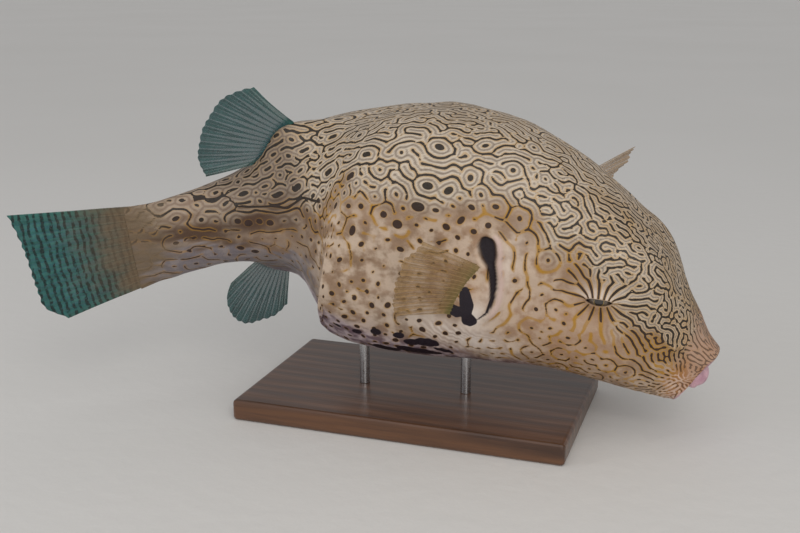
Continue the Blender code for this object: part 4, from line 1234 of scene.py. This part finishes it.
def addFin(name, fin):
    # a thin membrane over rays that fork twice towards its edge
    first, last = np.array(fin["root"], float)
    span = np.linalg.norm(last - first)
    along = (last - first) / span
    outward = np.array(fin["outward"], float)
    outward = unit(outward - along * outward.dot(along))
    side = np.cross(along, outward)
    columns = (fin["rays"] - 1) * finGrid["perRay"] + 1
    share = np.linspace(0, 1, columns)[None, :]
    down = np.linspace(0, 1, finGrid["rows"] + 1)[:, None]
    phase = share * (fin["rays"] - 1)
    offRay = np.abs(phase - np.round(phase))
    length = smoothValues(share, np.linspace(0, 1, 5), fin["lengths"])
    length = length * (1 - finGrid["scallop"] * rise(offRay, 0.0, 0.5))
    angle = np.radians(blend(*fin["angles"], share))[..., None]
    way = np.cos(angle) * outward + np.sin(angle) * along
    reach = -fin["sink"] + (length + fin["sink"]) * down
    outer = np.clip(reach / length, 0, 1)
    # thickness: the web, the forking rays with their joints, and a thick foot
    offFork = np.abs(offRay - finGrid["fork"] * rise(outer, 0.3, 0.8))
    offFork = np.abs(offFork - finGrid["secondFork"] * rise(outer, 0.65, 1.0))
    ridge = bump(offFork, 0, finGrid["rayWidth"])
    rayHalf = blend(*finGrid["ray"], outer**0.6) / 2 * 1.25
    knuckle = 1 + 0.12 * np.sin(reach * 3.2) * rise(outer, 0.1, 0.3)
    half = finGrid["web"] / 2 + 0.2 * (1 - outer) ** 2 + rayHalf * ridge * knuckle
    half = half * (1 - 0.6 * rise(outer, 0.97, 1.0))
    half = half + finGrid["foot"] * fall(outer, 0.0, 0.16)
    # sideways: the bow of the whole fin, its twist and its flutter
    bow = fin["bow"] * outer**2 * (1 - finGrid["edgeBow"] * (2 * share - 1) ** 2)
    bow = bow + fin["twist"] * outer**1.5 * (2 * share - 1)
    flutter = fin["flutter"] * outer**1.5 * np.sin(phase * 1.7 + 3.0 * outer + len(name))
    flutter = flutter + 0.35 * outer * np.cos(2 * math.pi * phase)
    middle = first + along * span * share[..., None] + way * reach[..., None]
    middle = middle + side * (bow + flutter)[..., None]
    thick = side * half[..., None]
    sides = [(middle + thick).reshape(-1, 3), (middle - thick).reshape(-1, 3)]
    own = np.arange(reach.size).reshape(reach.shape)
    faces = gridFaces(own).reshape(-1, 4)
    border = np.concatenate([own[0], own[1:, -1], own[-1, -2::-1], own[-2:0:-1, 0]])
    following = np.roll(border, -1)
    rimFaces = np.stack([following, border, border + own.size, following + own.size], -1)
    faces = np.vstack([faces, faces[:, ::-1] + own.size, rimFaces])
    mapping = [blend(0.01, 0.49, share + 0 * down), blend(0.01, 0.99, down + 0 * share)]
    mapping = np.stack(mapping, -1).reshape(-1, 2)
    mapping = np.vstack([mapping, mapping + (0.5, 0)])
    points = placeFish(np.vstack(sides))
    made = meshFrom(name + "_membrane", points, [faces], mapping[faces.ravel()])

    def onBoth(values):
        return np.tile(np.broadcast_to(values, own.shape).ravel(), 2)

    storeValue(made, "finReach", onBoth(reach))
    storeValue(made, "finEdge", onBoth(fall(np.minimum(share, 1 - share) * span, 1.5, 5.0)))
    storeMasks(made, "finParts", [onBoth(ridge), onBoth(outer), onBoth(rise(offFork, 0.05, 0.2))])
    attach(made, "root")
    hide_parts(name)
    return made


# colours of the root, web, bars and rays; opacity of the web, bar distance and strength,
# share of the length over which the root's colour fades, and how much the rays are dotted
tealFin = {
    "root": paint(96, 84, 62), "web": paint(34, 84, 90), "bar": paint(14, 46, 50),
    "ray": paint(50, 104, 92), "opacity": 0.5, "apart": 4.2, "bars": 0.3,
    "from": 0.0, "fade": 0.2, "dots": 0.6,
}
oliveFin = {
    "root": paint(100, 100, 52), "web": paint(180, 146, 104), "bar": paint(128, 102, 64),
    "ray": paint(192, 162, 116), "opacity": 0.2, "apart": 6.0, "bars": 0.2,
    "from": 0.0, "fade": 0.45, "dots": 0.1,
}
tailFin = {
    "root": paint(116, 98, 76), "web": paint(50, 116, 120), "bar": paint(8, 32, 30),
    "ray": paint(64, 122, 104), "opacity": 0.8, "apart": 4.8, "bars": 0.9,
    "from": 0.28, "fade": 0.95, "dots": 0.2,
}
finPaint = {
    "caudal_fin": tailFin, "dorsal_fin": tealFin, "anal_fin": tealFin,
    "pectoral_fin_right": oliveFin, "pectoral_fin_left": oliveFin,
}


def finMaterial(name, own):
    look, shader, where = newMaterial(name)
    rays, outer, web = storedMasks(look.node_tree, "finParts")
    reach, edge = stored(look.node_tree, "finReach"), stored(look.node_tree, "finEdge")
    cloudy = placed(mottle, where, Scale=90.0, Contrast=1.0)
    bars = placed(wavyBars, where, Reach=reach, Apart=own["apart"], Waver=4.5)
    dots = placed(wavyBars, where, Reach=reach, Apart=2.6, Waver=3.0)
    faded = stepUp(calc("ADD", outer, times(cloudy, 0.2)), own["from"], own["fade"])
    colour = mixed(faded, own["root"], mixed(times(cloudy, 0.4), own["web"], own["bar"]))
    rayShare = times(calc("MAXIMUM", rays, edge), stepUp(faded, 0.0, 0.8, 0.15, 1.0), 0.5)
    colour = mixed(rayShare, colour, own["ray"])
    rootBar = [blend(ink, root, 0.45) for ink, root in zip(skinPaint["ink"], own["root"])]
    barShare = times(bars, stepUp(faded, 0.0, 0.6, 0.5, 1.0), own["bars"])
    colour = mixed(barShare, colour, mixed(faded, rootBar, own["bar"]))
    colour = mixed(times(dots, rays, own["dots"]), colour, own["bar"])
    clear = times(stepUp(web, 0.0, 1.0, 0.55, 1.0), stepUp(outer, 0.02, own["fade"]),
                  1.0 - own["opacity"])
    feed(shader, {
        "Base Color": colour, "Alpha": calc("SUBTRACT", 1.0, clear),
        "Roughness": 0.42, "IOR": 1.38,
        "Normal": relief(placed(grain, where, Scale=700.0, Pores=0.4), 0.0002, 0.6),
    })
    return look


for name, fin in fins.items():
    addFin(name, fin).data.materials.append(finMaterial(name, finPaint[name]))
print("fins")

eyeBall = {"around": 72, "rings": 44, "cornea": 0.5, "corneaAngle": 0.5, "radius": 10.8}


def addEye(sideSign, name):
    spot, outward, along, upward = eyeFrames[sideSign]
    theta = np.linspace(0, math.pi, eyeBall["rings"] + 1)[1:-1, None]
    phi = np.arange(eyeBall["around"])[None, :] * 2 * math.pi / eyeBall["around"]
    radius = eyeBall["radius"] + eyeBall["cornea"] * bump(theta, 0, eyeBall["corneaAngle"])
    local = np.stack([radius * np.sin(theta) * np.cos(phi), radius * np.sin(theta) * np.sin(phi),
                      radius * np.cos(theta) + 0 * phi], -1).reshape(-1, 3)
    poles = [[0, 0, eyeBall["radius"] + eyeBall["cornea"]], [0, 0, -eyeBall["radius"]]]
    local = np.vstack([local, poles])
    world = spot - outward * eyes["depth"] + local @ np.array([along, upward, outward])
    own = np.arange(len(local) - 2).reshape(-1, eyeBall["around"])
    faces = [closedFaces(own).reshape(-1, 4), fanFrom(own[0], own.size),
             fanFrom(own[-1], own.size + 1)]
    made = meshFrom(name + "_ball", placeFish(world), faces)
    shape = bmesh.new()
    shape.from_mesh(made.data)
    bmesh.ops.recalc_face_normals(shape, faces=shape.faces)
    shape.to_mesh(made.data)
    shape.free()
    fromAxis = np.arctan2(np.hypot(local[:, 0], local[:, 1]), local[:, 2])
    storeValue(made, "fromAxis", np.degrees(fromAxis))
    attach(made, "root")
    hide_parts(name)
    return made


eyePaint = {
    "pupil": paint(54, 49, 46), "ring": paint(150, 124, 66), "iris": paint(92, 80, 70),
    "fleck": paint(134, 118, 102), "outer": paint(98, 86, 76),
}
eyeLook, shader, where = newMaterial("eyeGlass")
fromAxis = stored(eyeLook.node_tree, "fromAxis")
flecks = placed(mottle, where, Scale=900.0, Contrast=1.0)
iris = mixed(flecks, eyePaint["iris"], eyePaint["fleck"])
iris = mixed(stepUp(fromAxis, 24.0, 42.0), iris, eyePaint["outer"])
pupil = mixed(stepUp(fromAxis, 15.5, 18.0), eyePaint["pupil"], iris)
ringed = mixed(stepUp(fromAxis, 15.0, 16.5), pupil, eyePaint["ring"])
feed(shader, {
    "Base Color": mixed(stepUp(fromAxis, 17.0, 19.5), ringed, pupil),
    "Roughness": 0.12, "IOR": 1.38, "Coat Weight": 1.0, "Coat Roughness": 0.04,
})
for sideSign, name in ((-1, "eye_right"), (1, "eye_left")):
    addEye(sideSign, name).data.materials.append(eyeLook)
print("eyes")

standPaint = {
    "wood": paint(62, 38, 24), "lightWood": paint(104, 68, 42), "fibre": paint(84, 54, 34),
    "steel": paint(168, 168, 170), "lightSteel": paint(206, 206, 208),
}
woodLook, shader, where = newMaterial("standWood")
stretch = beside("Mapping", {"Vector": where, "Scale": (1.6, 15.0, 15.0)}).outputs[0]
values = {"Vector": stretch, "Scale": 1.5, "Distortion": 7.0, "Detail": 3.0, "Detail Scale": 1.6}
rings = beside("TexWave", values, bands_direction="Y").outputs["Fac"]
fibres = placed(streaks, where, Stretch=(18.0, 420.0, 420.0), Detail=4.0)
colour = mixed(rings, standPaint["wood"], standPaint["lightWood"])
feed(shader, {
    "Base Color": mixed(stepUp(fibres, 0.35, 0.7), colour, standPaint["fibre"]),
    "Roughness": stepUp(fibres, 0.2, 0.8, 0.32, 0.46), "Normal": relief(fibres, 0.0003, 0.5),
    "Coat Weight": 0.35, "Coat Roughness": 0.22,
})

steelLook, shader, where = newMaterial("standSteel")
scratches = placed(streaks, where, Stretch=(260.0, 260.0, 2600.0), Detail=3.0)
feed(shader, {
    "Base Color": mixed(scratches, standPaint["steel"], standPaint["lightSteel"]),
    "Roughness": stepUp(scratches, 0.2, 0.8, 0.2, 0.36), "Metallic": 1.0,
})
stand = {"stand_base": woodLook, "stand_rod_front": steelLook, "stand_rod_rear": steelLook}
for name, look in stand.items():
    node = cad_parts[name]
    if not node.material_slots:
        node.data.materials.append(look)
    for slotHere in node.material_slots:
        slotHere.material = look
print("stand")
